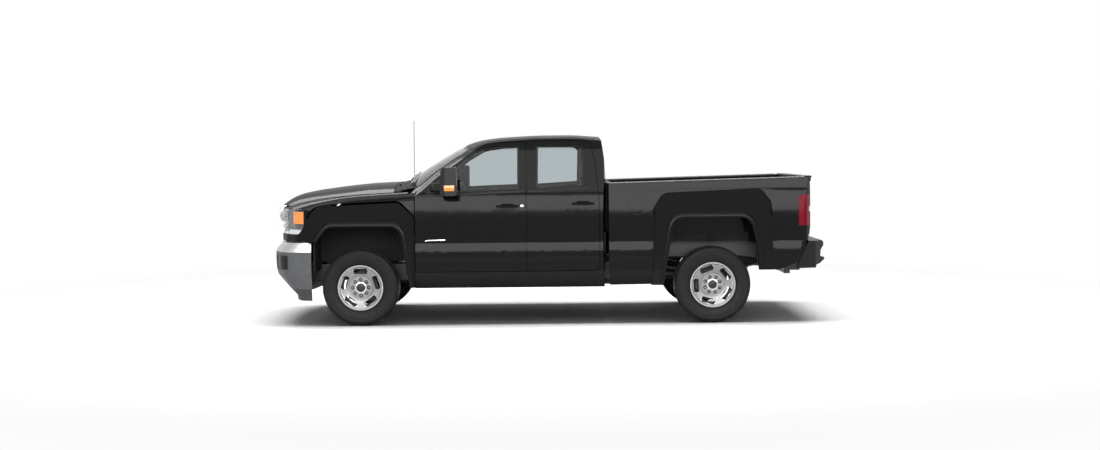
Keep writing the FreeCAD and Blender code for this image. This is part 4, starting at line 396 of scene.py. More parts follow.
def build_cloth(colour):
    """Woven seat cloth with a soft sheen."""
    finish = Finish("seat_cloth", Roughness=0.9, Sheen_Weight=0.3, Sheen_Roughness=0.5,
                    Specular_IOR_Level=0.2)
    weave = finish.use("plain_weave", Scale=260.0)
    tone = finish.toned(colour, 10.0, 0.88, 1.1)
    threads = add(finish.tree, "ShaderNodeVectorMath", {0: tone, "Scale": weave.outputs["Thread"]},
                  operation="SCALE")
    finish.link(threads.outputs["Vector"], "Base Color")
    finish.link(bumped(finish.tree, weave.outputs["Height"], 0.0003, 0.25), "Normal")


# Mesh helpers

def finish_piece(bm, name, body, materials, angle=SHARP_ANGLE):
    """Turn a bmesh into a piece that rides a body, its sharp edges kept."""
    bmesh.ops.remove_doubles(bm, verts=bm.verts, dist=1e-6)
    for face in bm.faces:
        face.smooth = True
    for edge in bm.edges:
        edge.smooth = not edge.is_manifold or edge.calc_face_angle(0.0) < angle
    mesh = bpy.data.meshes.new(name)
    bm.to_mesh(mesh)
    bm.free()
    for material in materials:
        mesh.materials.append(bpy.data.materials[material])
    piece = bpy.data.objects.new(name, mesh)
    bpy.context.scene.collection.objects.link(piece)
    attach(piece, body)
    return piece


def node_bmesh(node):
    """A welded bmesh of a frame node."""
    bm = bmesh.new()
    bm.from_mesh(NODES[node].data)
    bmesh.ops.remove_doubles(bm, verts=bm.verts, dist=2e-5)
    for face in bm.faces:
        face.material_index = 0
    return bm


def weighted(piece):
    """Let large faces lead the shading, so flat panels stay flat beside their rounded edges."""
    modifier = piece.modifiers.new("weighted", "WEIGHTED_NORMAL")
    modifier.keep_sharp = True
    modifier.weight = 70
    return piece


def cut_at(bm, *planes):
    """Cut the faces across at planes, each given by its axis and its place on it."""
    for axis, place in planes:
        normal = Vector([float(letter == axis) for letter in "XYZ"])
        bmesh.ops.bisect_plane(bm, geom=bm.verts[:] + bm.edges[:] + bm.faces[:], plane_co=normal * place,
                               plane_no=normal)


def thickened(bm, outward, thickness):
    """Turn an open sheet's faces outward and give it its thickness."""
    bmesh.ops.recalc_face_normals(bm, faces=bm.faces)
    if sum((face.normal for face in bm.faces), Vector()).dot(Vector(outward)) < 0:
        bmesh.ops.reverse_faces(bm, faces=bm.faces)
    bmesh.ops.solidify(bm, geom=bm.faces[:], thickness=thickness)
    return bm


def woven(rows, closed=False):
    """A sheet through rows of points, or a capped bar when each row is a closed loop."""
    bm = bmesh.new()
    rows = [[bm.verts.new(point) for point in row] for row in rows]
    for low_row, high_row in zip(rows, rows[1:]):
        for number in range(len(low_row) - (0 if closed else 1)):
            after = (number + 1) % len(low_row)
            bm.faces.new((low_row[number], low_row[after], high_row[after], high_row[number]))
    if closed:
        bm.faces.new(rows[0])
        bm.faces.new(rows[-1])
        bmesh.ops.recalc_face_normals(bm, faces=bm.faces)
    return bm


def surface(*nodes):
    """A ray target of the named nodes."""
    bm = bmesh.new()
    for node in nodes:
        bm.from_mesh(NODES[node].data)
    tree = BVHTree.FromBMesh(bm)
    bm.free()
    return tree


def on_side(tree, x, z, side, lift=0.0):
    """The point and normal on a body side, looked at from outside."""
    place, normal, _, _ = tree.ray_cast(Vector((x, side * 1.6, z)), Vector((0, -side, 0)), 1.6)
    if place is None:
        raise RuntimeError("nothing is hit at x %.3f z %.3f" % (x, z))
    if normal.y * side < 0:
        normal = -normal
    return place + normal * lift, normal


def dropped(tree, x, y, top=2.2, reach=1.0):
    """Where a plumb line from the top first meets the target, or None."""
    return tree.ray_cast(Vector((x, y, top)), Vector((0, 0, -1)), reach)[0]


def along(path, share):
    """The point at a share of a path's length."""
    spans = [(Vector(b) - Vector(a)).length for a, b in zip(path, path[1:])]
    left = share * sum(spans)
    for (a, b), span in zip(zip(path, path[1:]), spans):
        if left <= span or b is path[-1]:
            return Vector(a).lerp(Vector(b), min(left / span, 1.0))
        left -= span
    return Vector(path[-1])


def rounded_path(corners, steps=8):
    """Points along straight runs whose corners are rounded; a corner is x, z and its radius."""
    points = [Vector(corners[0][:2])]
    for before, corner, after in zip(corners, corners[1:], corners[2:]):
        here, radius = Vector(corner[:2]), corner[2]
        back = (Vector(before[:2]) - here).normalized()
        ahead = (Vector(after[:2]) - here).normalized()
        half = math.acos(max(-1.0, min(1.0, back.dot(ahead)))) / 2
        reach = radius / math.tan(half)
        centre = here + (back + ahead).normalized() * (radius / math.sin(half))
        start, end = here + back * reach - centre, here + ahead * reach - centre
        for number in range(steps + 1):
            points.append(centre + start.lerp(end, number / steps).normalized() * radius)
    points.append(Vector(corners[-1][:2]))
    return points


def side_strip(tree, side, path, width, lift, thick, steps=40, tip=1.0):
    """A raised strip on a body side along x and z; tip is its first width as a share of its last."""
    bm = bmesh.new()
    bmesh.ops.create_grid(bm, x_segments=steps, y_segments=2, size=0.5)
    for vert in bm.verts:
        share = min(max(vert.co.x + 0.5, 0.0), 1.0)
        here = along(path, share)
        ahead = along(path, min(share + 0.01, 1.0)) - along(path, max(share - 0.01, 0.0))
        across = Vector((-ahead.y, ahead.x)).normalized() * vert.co.y * width * (tip + (1 - tip) * share)
        crown = thick * 0.35 * (1 - abs(vert.co.y) * 2)
        vert.co, _ = on_side(tree, here.x + across.x, here.y + across.y, side, lift + crown)
    return thickened(bm, (0, side, 0), thick)


def rotation(degrees, axis):
    """A turn in degrees about one axis."""
    return Matrix.Rotation(math.radians(degrees), 3, axis)


def moved(bm, place=ORIGIN, turn=None):
    """The same bmesh, turned about the origin and then carried to its place."""
    if turn is not None:
        bmesh.ops.rotate(bm, cent=ORIGIN, matrix=turn, verts=bm.verts)
    bmesh.ops.translate(bm, vec=Vector(place), verts=bm.verts)
    return bm


def turned(profile, steps, axis="Y"):
    """A full turn of a profile of radius and height round an axis through the origin."""
    bm = bmesh.new()
    verts = [bm.verts.new((radius, height, 0.0)) for radius, height in profile]
    edges = [bm.edges.new(pair) for pair in zip(verts, verts[1:])]
    bmesh.ops.spin(bm, geom=verts + edges, cent=ORIGIN, axis=(0, 1, 0), angle=math.tau, steps=steps,
                   use_merge=True)
    bmesh.ops.remove_doubles(bm, verts=bm.verts, dist=1e-6)
    return moved(bm, turn={"X": rotation(-90, "Z"), "Z": rotation(90, "X")}.get(axis))


def closed_up(bm):
    """Close open ends and turn every face outward."""
    bmesh.ops.holes_fill(bm, edges=[edge for edge in bm.edges if edge.is_boundary], sides=0)
    bmesh.ops.recalc_face_normals(bm, faces=bm.faces)
    return bm


def rounded_box(size, radius, segments=2):
    """A box of full sizes with its edges rounded."""
    bm = bmesh.new()
    bmesh.ops.create_cube(bm, size=1.0)
    bmesh.ops.scale(bm, vec=Vector(size), verts=bm.verts)
    bmesh.ops.bevel(bm, geom=bm.edges[:], offset=radius, offset_type="OFFSET", segments=segments, profile=0.5,
                    affect="EDGES", material=-1)
    return bm


def merged(parts):
    """One bmesh of several; each keeps its own material number."""
    whole = bmesh.new()
    for number, part in parts:
        for face in part.faces:
            face.material_index = number
        mesh = bpy.data.meshes.new("part")
        part.to_mesh(mesh)
        part.free()
        whole.from_mesh(mesh)
        bpy.data.meshes.remove(mesh)
    return whole


# Operators, one for each group of pieces

class TRUCK_OT_finishes(bpy.types.Operator):
    """Build the finishes and give every frame node its own"""

    bl_idname = "truck.finishes"
    bl_label = "Finishes"

    def execute(self, context):
        build_groups()
        build_finishes(context.scene.truck_paint)
        plain = {
            "front_bumper": "satin_chrome", "bumper_cover": "bumper_cover_plastic",
            "front_valance": "valance_plastic", "inner_fenders": "liner_plastic", "cowl": "liner_plastic",
            "frame": "chassis_black", "engine": "cast_iron", "gearbox": "polished_alloy",
            "driveshafts": "chassis_black", "rear_axle": "cast_iron", "leaf_springs": "spring_steel",
            "front_axle": "cast_iron", "suspension": "chassis_black", "fuel_tank": "liner_plastic",
            "exhaust": "exhaust_steel", "spare_wheel": "tyre_rubber", "rear_bumper": "step_bumper_black",
            "antenna": "antenna_black", "dashboard": "cabin_plastic", "steering_wheel": "cabin_dark_plastic",
            "knuckle_left": "cast_iron", "knuckle_right": "cast_iron", "grille": "chrome",
            "seats": "seat_cloth", "headlamps": "clear_lens", "tail_lamps": "red_lens",
            "mirror_left": "mirror_housing", "mirror_right": "mirror_housing",
            "cab_glass": "windscreen_glass",
        }
        for node, item in NODES.items():
            kinds = {"glass": "side_glass", "tyre": "tyre_rubber", "rim": "polished_alloy"}
            name = plain.get(node) or kinds.get(node.split("_")[0], "body_paint")
            item.data.materials.clear()
            item.data.materials.append(bpy.data.materials[name])
        return {"FINISHED"}


def facing_in(face, node):
    """Whether a face of a body panel looks into the cabin."""
    centre = face.calc_center_median()
    if node.startswith("door"):
        side = -1 if node.endswith("left") else 1
        edge = abs(face.normal.y) < 0.25 and abs(centre.y) < 0.9 and centre.z < 1.3
        return face.normal.y * side < -0.25 or edge
    if node in ("cab", "roof", "floor_pan"):
        inside = -1.44 < centre.x < 0.6 and abs(centre.y) < 0.9 and centre.z > 0.6
        return inside and face.normal.dot(Vector((-0.3, 0, 1.25)) - centre) > 0
    return False


class TRUCK_OT_panels(bpy.types.Operator):
    """Smooth the painted panels, and give those round the cabin their trim inside"""

    bl_idname = "truck.panels"
    bl_label = "Body panels"

    def execute(self, context):
        others = ("cab", "fenders", "hood", "bed", "tailgate", "front_bumper", "bumper_cover",
                  "front_valance", "mirror_left", "mirror_right", "exhaust")
        for node in NODES:
            if node.split("_")[0] not in ("door", "roof", "floor") and node not in others:
                continue
            bm = node_bmesh(node)
            own = NODES[node].data.materials[0].name
            to_sill = node in ("cab", "bed")
            if to_sill:
                # Below the sill line the cab and bed are made near black.
                cut_at(bm, ("Z", SILL_LINE))
            for face in bm.faces:
                centre = face.calc_center_median()
                if to_sill and centre.z < SILL_LINE:
                    face.material_index = 4
                elif facing_in(face, node):
                    high = centre.z > 1.75 and not node.startswith("door")
                    face.material_index = 2 if high else 3 if face.normal.z > 0.6 and centre.z < 0.85 else 1
            piece = finish_piece(bm, node + "_skin", BODY_OF[node],
                                 [own, "cabin_plastic", "headlining", "carpet", "sill_black"])
            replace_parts(weighted(piece), node)
        return {"FINISHED"}


def keep_faces(bm, kept):
    """Delete every face that isn't kept."""
    bmesh.ops.delete(bm, geom=[face for face in bm.faces if face not in kept], context="FACES")


def pane_ring(node, outward, width, lift, thick):
    """A rubber ring round the outer face of the pane that looks outward."""
    bm = node_bmesh(node)
    keep_faces(bm, {face for face in bm.faces if face.normal.dot(outward.normalized()) > 0.5
                    and face.calc_center_median().x * outward.x >= 0})
    ring = bmesh.ops.inset_region(bm, faces=bm.faces[:], thickness=width, use_even_offset=node != "cab_glass",
                                  use_boundary=True)["faces"]
    keep_faces(bm, set(ring))
    bm.normal_update()
    for vert, normal in [(vert, vert.normal.copy()) for vert in bm.verts]:
        vert.co += normal * lift
    bmesh.ops.solidify(bm, geom=bm.faces[:], thickness=thick)
    return bm


class TRUCK_OT_glass(bpy.types.Operator):
    """Smooth the panes and lay their rubber seals and the strips at the belt"""

    bl_idname = "truck.glass"
    bl_label = "Glass and seals"

    def execute(self, context):
        for node in [node for node in NODES if "glass" in node]:
            pane = finish_piece(node_bmesh(node), node + "_pane", BODY_OF[node],
                                [NODES[node].data.materials[0].name])
            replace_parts(pane, node)
            side = -1 if node.endswith("left") else 1
            rings = [(node + "_seal", Vector((0, side, 0)), 0.020, 0.007, 0.0065)]
            if node == "cab_glass":
                rings = [("windscreen_border", Vector((-1, 0, 1)), 0.03, 0.0006, 0.0005),
                         ("rear_glass_border", Vector((1, 0, 0.1)), 0.02, 0.0006, 0.0005)]
            for name, *form in rings:
                finish_piece(pane_ring(node, *form), name, BODY_OF[node], ["window_rubber"])
        for hand, side in SIDES:
            for where, path in BELT.items():
                door = "door_%s_%s" % (where, hand)
                bm = side_strip(surface(door), side, path, 0.022, 0.004, 0.0045)
                finish_piece(bm, "belt_strip_%s_%s" % (where, hand), door, ["window_rubber"])
        return {"FINISHED"}


def tyre_bmesh(tread):
    """A tyre at the origin: beaded walls with raised rings, and ribs cut into blocks."""
    groove = tread.groove
    wall = [(0.2175, 0.1025), (0.2365, 0.1025), (0.2425, 0.1125), (0.2500, 0.1190), (0.2535, 0.1205),
            (0.2560, 0.1190), (0.2760, 0.1268), (0.2900, 0.1296), (0.3180, 0.1325), (0.3205, 0.1328),
            (0.3220, 0.1312), (0.3480, 0.1300), (0.3520, 0.1310), (0.3545, 0.1296), (0.3660, 0.1262),
            (0.3790, 0.1195), (0.3880, 0.1140), (0.3925, 0.1065)]
    ribs = [(0.3945, 0.0960), (0.3955, 0.0700), (0.3955 - groove, 0.0685), (0.3955 - groove, 0.0600),
            (0.3960, 0.0585), (0.3965, 0.0265), (0.3965 - groove, 0.0250), (0.3965 - groove, 0.0170),
            (0.3968, 0.0155)]
    right = wall + ribs
    cavity = [(0.3780, -0.0950), (0.3470, -0.1150), (0.2670, -0.1090), (0.2175, -0.0765)]
    profile = right + [(r, -y) for r, y in reversed(right)] + cavity[::-1]
    profile += [(r, -y) for r, y in cavity] + [right[0]]
    bm = turned(profile, tread.steps)
    bmesh.ops.recalc_face_normals(bm, faces=bm.faces)
    step = math.tau / tread.steps
    cuts = []
    for face in bm.faces:
        centre = face.calc_center_median()
        radius = math.hypot(centre.x, centre.z)
        if radius < 0.3855 or abs(face.normal.y) > 0.9 or face.calc_area() < 3e-5:
            continue
        turn = int((math.atan2(centre.z, centre.x) % math.tau) / step)
        width = abs(centre.y)
        lane = 0 if width < 0.016 else 1 if width < 0.059 else 2 if width < 0.097 else 3
        stagger = (0, 2, 1, 1)[lane] + (2 if centre.y > 0 and lane in (1, 2) else 0)
        if (turn + stagger) % 4 == 0:
            cuts.append(face)
    made = bmesh.ops.extrude_discrete_faces(bm, faces=cuts)["faces"]
    for face in made:
        centre = face.calc_center_median()
        inward = Vector((centre.x, 0, centre.z)).normalized() * -groove * 0.8
        bmesh.ops.translate(bm, vec=inward, verts=face.verts)
    return bm


class TRUCK_OT_tyres(bpy.types.Operator):
    """Turn the tyres with their moulded rings and cut the tread"""

    bl_idname = "truck.tyres"
    bl_label = "Tyres"

    def execute(self, context):
        tread = context.scene.truck_tread
        for corner in CORNERS:
            node = "tyre_" + corner
            low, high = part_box(node)
            bm = moved(tyre_bmesh(tread), (low + high) / 2)
            piece = finish_piece(bm, node + "_tread", BODY_OF[node], ["tyre_rubber"],
                                 math.radians(28))
            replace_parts(piece, node)
        return {"FINISHED"}


def hexagon_nut(radius, height):
    """A wheel nut with a domed end, its axis along Y."""
    bm = bmesh.new()
    bmesh.ops.create_cone(bm, cap_ends=True, segments=6, radius1=radius, radius2=radius, depth=height)
    top = [face for face in bm.faces if face.normal.z > 0.9]
    for growth, rise in ((0.0022, 0.0), (0.0035, 0.004), (0.003, 0.0025)):
        bmesh.ops.inset_region(bm, faces=top, thickness=growth)
        bmesh.ops.translate(bm, vec=(0, 0, rise), verts=list({vert for face in top for vert in face.verts}))
    return moved(bm, turn=rotation(-90, "X"))


class TRUCK_OT_wheels(bpy.types.Operator):
    """Finish the wheels: polished lips, painted spokes, recesses and inner barrel painted dark as shade, nuts
    and caps
    """

    bl_idname = "truck.wheels"
    bl_label = "Wheels"

    def execute(self, context):
        for corner in CORNERS:
            node = "rim_" + corner
            side = -1 if corner.endswith("left") else 1
            low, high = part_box("tyre_" + corner)
            hub = (low + high) / 2
            bm = node_bmesh(node)
            for face in bm.faces:
                centre = face.calc_center_median() - hub
                radius = math.hypot(centre.x, centre.z)
                depth = centre.y * side
                out = face.normal.y * side
                # Material 2 paints the shade in the wheel's recesses, window sides and inner barrel.
                if depth < 0.02 and radius < 0.19:
                    face.material_index = 3
                elif depth < 0.06 and radius < 0.2:
                    face.material_index = 2
                elif radius > 0.196 or depth < 0.0:
                    face.material_index = 0 if depth > 0.03 else 2
                elif out > 0.55 and radius > 0.072:
                    face.material_index = 1
                elif out > 0.12:
                    face.material_index = 0
                else:
                    face.material_index = 2
            skin = finish_piece(bm, node + "_face", BODY_OF[node],
                                ["polished_alloy", "spoke_paint", "wheel_recess_painted_shade", "brake_iron"],
                                math.radians(26))
            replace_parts(skin, node)
            self.dress(corner, side, hub)
        return {"FINISHED"}

    def dress(self, corner, side, hub):
        """Eight nuts, each over a dark disc that paints the shade in its well, the dark cap and its bright
        ring.
        """
        well_shade = ((0.0005, 0.0), (0.0195, 0.0), (0.0195, 0.0035), (0.0180, 0.0045), (0.0005, 0.0045))
        cap = ((0.0005, 0.0935), (0.020, 0.0930), (0.034, 0.0905), (0.0445, 0.0860), (0.0465, 0.0800),
               (0.0465, 0.0700))
        ring = ((0.0470, 0.0700), (0.0470, 0.0815), (0.0500, 0.0850), (0.0545, 0.0842), (0.0570, 0.0800),
                (0.0570, 0.0700), (0.0470, 0.0700))
        parts = []
        for number in range(8):
            angle = number * math.tau / 8 + math.pi / 2
            x, z = NUT_CIRCLE * math.cos(angle), NUT_CIRCLE * math.sin(angle)
            parts.append((0, moved(hexagon_nut(0.0095, 0.022), (x, 0.070, z))))
            # A dark disc under each nut: painted shade in the nut's well.
            parts.append((1, moved(closed_up(turned(well_shade, 20)), (x, 0.0585, z))))
        parts += [(1, closed_up(turned(cap, 48))), (2, closed_up(turned(ring, 48)))]
        phase = REAR_PHASE if corner.startswith("rear") else 0
        bm = moved(merged(parts), hub, rotation(phase, "Y") @ rotation(180 if side < 0 else 0, "Z"))
        finish_piece(bm, "wheel_nuts_and_cap_" + corner, BODY_OF["rim_" + corner],
                     ["zinc_nuts", "wheel_cap_plastic", "chrome"], math.radians(40))


class TRUCK_OT_lamps(bpy.types.Operator):
    """Clear and amber lenses over the headlamp bowls, and the rear lamps with their clear band"""

    bl_idname = "truck.lamps"
    bl_label = "Lamps"

    def execute(self, context):
        self.headlamps()
        self.tail_lamps()
        return {"FINISHED"}

    def headlamps(self):
        """Outer lenses with their amber corner, over bowls set back behind them."""
        bm = node_bmesh("headlamps")
        cut_at(bm, ("Z", BAR_TOP))
        lens = bm.copy()
        outer = set()
        for face in lens.faces:
            centre = face.calc_center_median()
            side = 1 if centre.y > 0 else -1
            outward = Vector((-1, side * 0.8, 0.05)).normalized()
            if face.normal.dot(outward) > 0.45:
                outer.add(face.index)
        lens.faces.ensure_lookup_table()
        bm.faces.ensure_lookup_table()
        keep_faces(lens, {face for face in lens.faces if face.index in outer})
        cut_at(lens, ("X", AMBER_FROM_X), ("Z", AMBER_LOW), ("Z", AMBER_HIGH))
        for face in lens.faces:
            centre = face.calc_center_median()
            face.material_index = 1 if centre.x > AMBER_FROM_X and AMBER_LOW < centre.z < AMBER_HIGH else 0
        bmesh.ops.solidify(lens, geom=lens.faces[:], thickness=0.003)
        bowl_moves = {}
        for face in bm.faces:
            if face.index in outer:
                for vert in face.verts:
                    bowl_moves.setdefault(vert, []).append(face.normal.copy())
        for vert, normals in bowl_moves.items():
            vert.co -= sum(normals, Vector()).normalized() * 0.022
        for face in bm.faces:
            centre = face.calc_center_median()
            if face.index in outer:
                face.material_index = 0 if centre.z > BAR_TOP else 1
            else:
                face.material_index = 2
        weighted(finish_piece(lens, "headlamp_lenses", "root", ["clear_lens", "amber_marker"]))
        bowl = finish_piece(bm, "headlamp_bowls", "root", ["lamp_bowl", "chrome", "black_trim"])
        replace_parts(bowl, "headlamps")
        for hand, side in SIDES:
            pieces = []
            for x, y, z, radius in ((-2.770, 0.668, 1.137, 0.052), (-2.735, 0.730, 1.020, 0.040)):
                dish = turned([(0.004, -0.004), (radius * 0.5, 0.000), (radius * 0.9, 0.007), (radius, 0.010),
                               (radius * 1.06, 0.010), (radius * 1.06, -0.004), (radius * 0.5, -0.010),
                               (0.004, -0.010), (0.004, -0.004)], 32)
                bmesh.ops.recalc_face_normals(dish, faces=dish.faces)
                bulb = bmesh.new()
                bmesh.ops.create_icosphere(bulb, subdivisions=3, radius=radius * 0.24)
                moved(bulb, (0, 0.006, 0))
                turn = rotation(148 if side < 0 else 32, "Z")
                pieces += [(0, moved(part, (x, side * y, z), turn)) for part in (dish, bulb)]
            finish_piece(merged(pieces), "headlamp_reflectors_" + hand, "root", ["lamp_reflector"])

    def tail_lamps(self):
        """Red lenses with a clear band towards the tail."""
        bm = node_bmesh("tail_lamps")
        cut_at(bm, ("Z", REVERSE_HIGH), ("Z", REVERSE_LOW), ("X", REVERSE_FROM_X))
        for face in bm.faces:
            centre = face.calc_center_median()
            clear = REVERSE_LOW < centre.z < REVERSE_HIGH and centre.x > REVERSE_FROM_X
            face.material_index = 1 if clear else 0
        lamps = finish_piece(bm, "tail_lamp_lenses", "root", ["red_lens", "reverse_lens"])
        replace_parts(weighted(lamps), "tail_lamps")


class TRUCK_OT_front(bpy.types.Operator):
    """Mesh behind the grille bars, and the vent panel and wipers at the foot of the windscreen"""

    bl_idname = "truck.front"
    bl_label = "Grille mesh, vent panel and wipers"

    def execute(self, context):
        low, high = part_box("grille")
        bm = bmesh.new()
        bmesh.ops.create_grid(bm, x_segments=40, y_segments=14, size=0.5)
        bmesh.ops.scale(bm, vec=(0.97, 0.312, 1.0), verts=bm.verts)
        for vert in bm.verts:
            vert.co.x *= 1 + vert.co.y * 0.36
        bmesh.ops.wireframe(bm, faces=bm.faces, thickness=0.004, offset=0.5, use_replace=True,
                            use_boundary=True, use_even_offset=True, material_offset=0)
        moved(bm, (low.x + 0.0575, 0, (low.z + high.z) / 2 - 0.008), rotation(90, "Z") @ rotation(90, "X"))
        finish_piece(bm, "grille_mesh", BODY_OF["grille"], ["black_trim"])
        self.cowl_panel()
        self.wipers()
        return {"FINISHED"}

    def cowl_panel(self):
        """The black vent panel between the hood and the foot of the windscreen."""
        cowl, glass = surface("cowl"), surface("cab_glass")
        rows = []
        for number in range(61):
            y = -0.765 + number * 0.0255
            back = dropped(cowl, -1.545, y)
            feet = (dropped(glass, -1.50 + step * 0.004, y) for step in range(90))
            foot = next((hit for hit in feet if hit is not None), None)
            if back is None or foot is None:
                continue
            start = back + Vector((0, 0, 0.002))
            end = foot + Vector((0.006, 0, -0.006))
            rows.append([start.lerp(end, share / 6) + Vector((0, 0, 0.004 * math.sin(share * math.pi / 6)))
                         for share in range(7)])
        if len(rows) < 40:
            raise RuntimeError("the vent panel found too little of the windscreen's foot")
        finish_piece(thickened(woven(rows), UP, 0.004), "cowl_vent_panel", "root", ["liner_plastic"])

    def wipers(self):
        """Two arms with their blades, laid on the glass at its foot."""
        tree = surface("cab_glass", "cab", "cowl")
        for label, start, end in (
                ("left", Vector((-1.425, -0.60)), Vector((-1.375, -0.04))),
                ("right", Vector((-1.440, 0.02)), Vector((-1.380, 0.58)))):
            parts = []
            for reach, width, height, lift in ((1.0, 0.012, 0.008, 0.016), (0.5, 0.020, 0.010, 0.026)):
                bm = rounded_box((1.0, 1.0, 1.0), 0.12, 1)
                long_edges = [edge for edge in bm.edges if abs((edge.verts[0].co - edge.verts[1].co).x) > 0.5]
                bmesh.ops.subdivide_edges(bm, edges=long_edges, cuts=10, use_grid_fill=True)
                for vert in bm.verts:
                    x, y = start.lerp(end, (vert.co.x + 0.5) * reach)
                    hits = (dropped(tree, x + step, y, reach=0.95) for step in (0.0, 0.006, -0.006))
                    place = next((hit for hit in hits if hit is not None), None)
                    if place is None:
                        raise RuntimeError("the wiper found no glass at x %.3f y %.3f" % (x, y))
                    vert.co = Vector((x + vert.co.y * width, y, place.z + lift + vert.co.z * height))
                bmesh.ops.recalc_face_normals(bm, faces=bm.faces)
                parts.append((0, bm))
            finish_piece(merged(parts), "wiper_" + label, "root", ["black_trim"])


class TRUCK_OT_trim(bpy.types.Operator):
    """Strips, locks, mirror panes, arch lips, bed trim with a plate of painted shade, air slots painted as
    shade, filler door and step pads
    """

    bl_idname = "truck.trim"
    bl_label = "Small trim"

    def execute(self, context):
        for hand, side in SIDES:
            self.side_trim(hand, side)
            self.mirror(hand, side)
            for where in HUBS:
                self.arch_lip(where, hand, side)
            self.bed_dress(hand, side)
            self.slot_shade(hand, side)
        cap = rounded_box((0.084, 1.660, 0.020), 0.006, 3)
        finish_piece(moved(cap, (2.741, 0, 1.511)), "tailgate_cap", "tailgate", ["black_trim"])
        self.filler_door()
        self.rear_steps()
        return {"FINISHED"}

    def side_trim(self, hand, side):
        """The bright strip and key lock of the front door, and the strip along the roof."""
        door = "door_front_" + hand
        tree = surface(door)
        strip = side_strip(tree, side, SPEAR, 0.0105, 0.003, 0.004, 24, 0.7)
        finish_piece(strip, "door_spear_" + hand, door, ["chrome"], math.radians(60))
        place, normal = on_side(tree, *KEY_LOCK, side)
        lock = closed_up(turned([(0.0005, 0.0045), (0.009, 0.0045), (0.0125, 0.0040), (0.0135, 0.0010),
                                 (0.0135, -0.004)], 24))
        turn = Vector((0, 1, 0)).rotation_difference(normal).to_matrix()
        finish_piece(moved(lock, place, turn), "key_lock_" + hand, door, ["chrome"])
        roof = surface("cab", "roof")
        bm = bmesh.new()
        bmesh.ops.create_grid(bm, x_segments=60, y_segments=2, size=0.5)
        for vert in bm.verts:
            hit = dropped(roof, -0.80 + (vert.co.x + 0.5) * 1.32, side * (0.655 + vert.co.y * 0.016), 2.4)
            if hit is None:
                raise RuntimeError("the roof strip found no roof")
            vert.co = hit + Vector((0, 0, 0.004 + 0.002 * (1 - abs(vert.co.y) * 2)))
        finish_piece(thickened(bm, UP, 0.0045), "roof_ditch_strip_" + hand, "root", ["window_rubber"])

    def mirror(self, hand, side):
        """Two panes in the mirror's head, and the amber marker on its outer side."""
        node = "mirror_" + hand
        parts = [(0, moved(rounded_box((0.003, 0.176, height), 0.0012, 1), (-0.917, side * 1.194, z)))
                 for height, z in ((0.160, 1.536), (0.076, 1.412))]
        finish_piece(merged(parts), "mirror_panes_" + hand, BODY_OF[node], ["mirror_silver"])
        place, _ = on_side(surface(node), -0.975, 1.44, side)
        marker = moved(rounded_box((0.104, 0.008, 0.058), 0.003, 2), (-0.985, place.y - side * 0.002, 1.432))
        finish_piece(marker, "mirror_marker_" + hand, BODY_OF[node], ["amber_marker"])

    def arch_lip(self, where, hand, side):
        """The rolled lip round a wheel arch, lofted along the arch's edge."""
        path = rounded_path([(HUBS[where] + x, *rest) for x, *rest in ARCHES[where]])
        profile = ((0.000, 1.004), (0.000, 1.020), (0.004, 1.0265), (0.011, 1.0295), (0.026, 1.0290),
                   (0.040, 1.0245), (0.052, 1.0165), (0.056, 1.0080))
        rows = []
        for number, point in enumerate(path):
            ahead = path[min(number + 1, len(path) - 1)] - path[max(number - 1, 0)]
            outward = Vector((-ahead.y, ahead.x)).normalized()
            rows.append([(point.x + outward.x * reach, side * out, point.y + outward.y * reach)
                         for reach, out in profile])
        finish_piece(woven(rows, closed=True), "arch_lip_%s_%s" % (where, hand), "root", ["body_paint"],
                     math.radians(50))

    def bed_dress(self, hand, side):
        """The black cap along the bed's rail, and a dark plate under the bed by the rear wheel, for the bed's
        sills and the painted shade in the gap there.
        """
        tree = surface("bed")
        profile = ((0.833, -0.008), (0.836, 0.004), (0.846, 0.008), (0.900, 0.010), (0.940, 0.008),
                   (0.953, 0.003), (0.958, -0.012))
        rows = []
        for number in range(41):
            x = 0.660 + number * 0.0507
            hit = dropped(tree, x, side * 0.9)
            if hit is None:
                raise RuntimeError("the bed rail's cap found no rail at x %.3f" % x)
            inset = max(0.0, x - 2.44) * 0.10
            rows.append([(x, side * (y - (inset if y > 0.9 else 0.0)), hit.z + rise) for y, rise in profile])
        finish_piece(thickened(woven(rows), UP, 0.003), "bed_rail_cap_" + hand, "root", ["black_trim"])
        # A dark plate under the bed by the rear wheel: partly the bed's sills, partly painted shade in the
        # gap between bed and frame.
        sill_and_shade_plate = rounded_box((0.92, 0.004, 0.120), 0.0012, 1)
        finish_piece(moved(sill_and_shade_plate, (HUBS["rear"], side * 0.650, 0.895)), "bed_sill_and_shade_plate_" + hand, "root",
                     ["liner_plastic"])

    def slot_shade(self, hand, side):
        """The opening in the corner of the bumper cover, drawn as a grey plate with a near-black plate on it
        that paints the shade inside.
        """
        tree = surface("bumper_cover")
        parts = []
        # The outer plate is the cover's frame round the opening; the inner, darker plate is painted shade.
        for number, (width, height, lift) in enumerate(((0.100, 0.150, 0.0015), (0.084, 0.134, 0.0030))):
            bm = bmesh.new()
            bmesh.ops.create_grid(bm, x_segments=10, y_segments=14, size=0.5)
            for vert in bm.verts:
                vert.co, _ = on_side(tree, -2.735 + vert.co.x * width, 0.664 + vert.co.y * height, side, lift)
            parts.append((number, thickened(bm, (0, side, 0), 0.0014)))
        finish_piece(merged(parts), "bumper_slot_shade_" + hand, "root", ["valance_plastic", "window_rubber"])

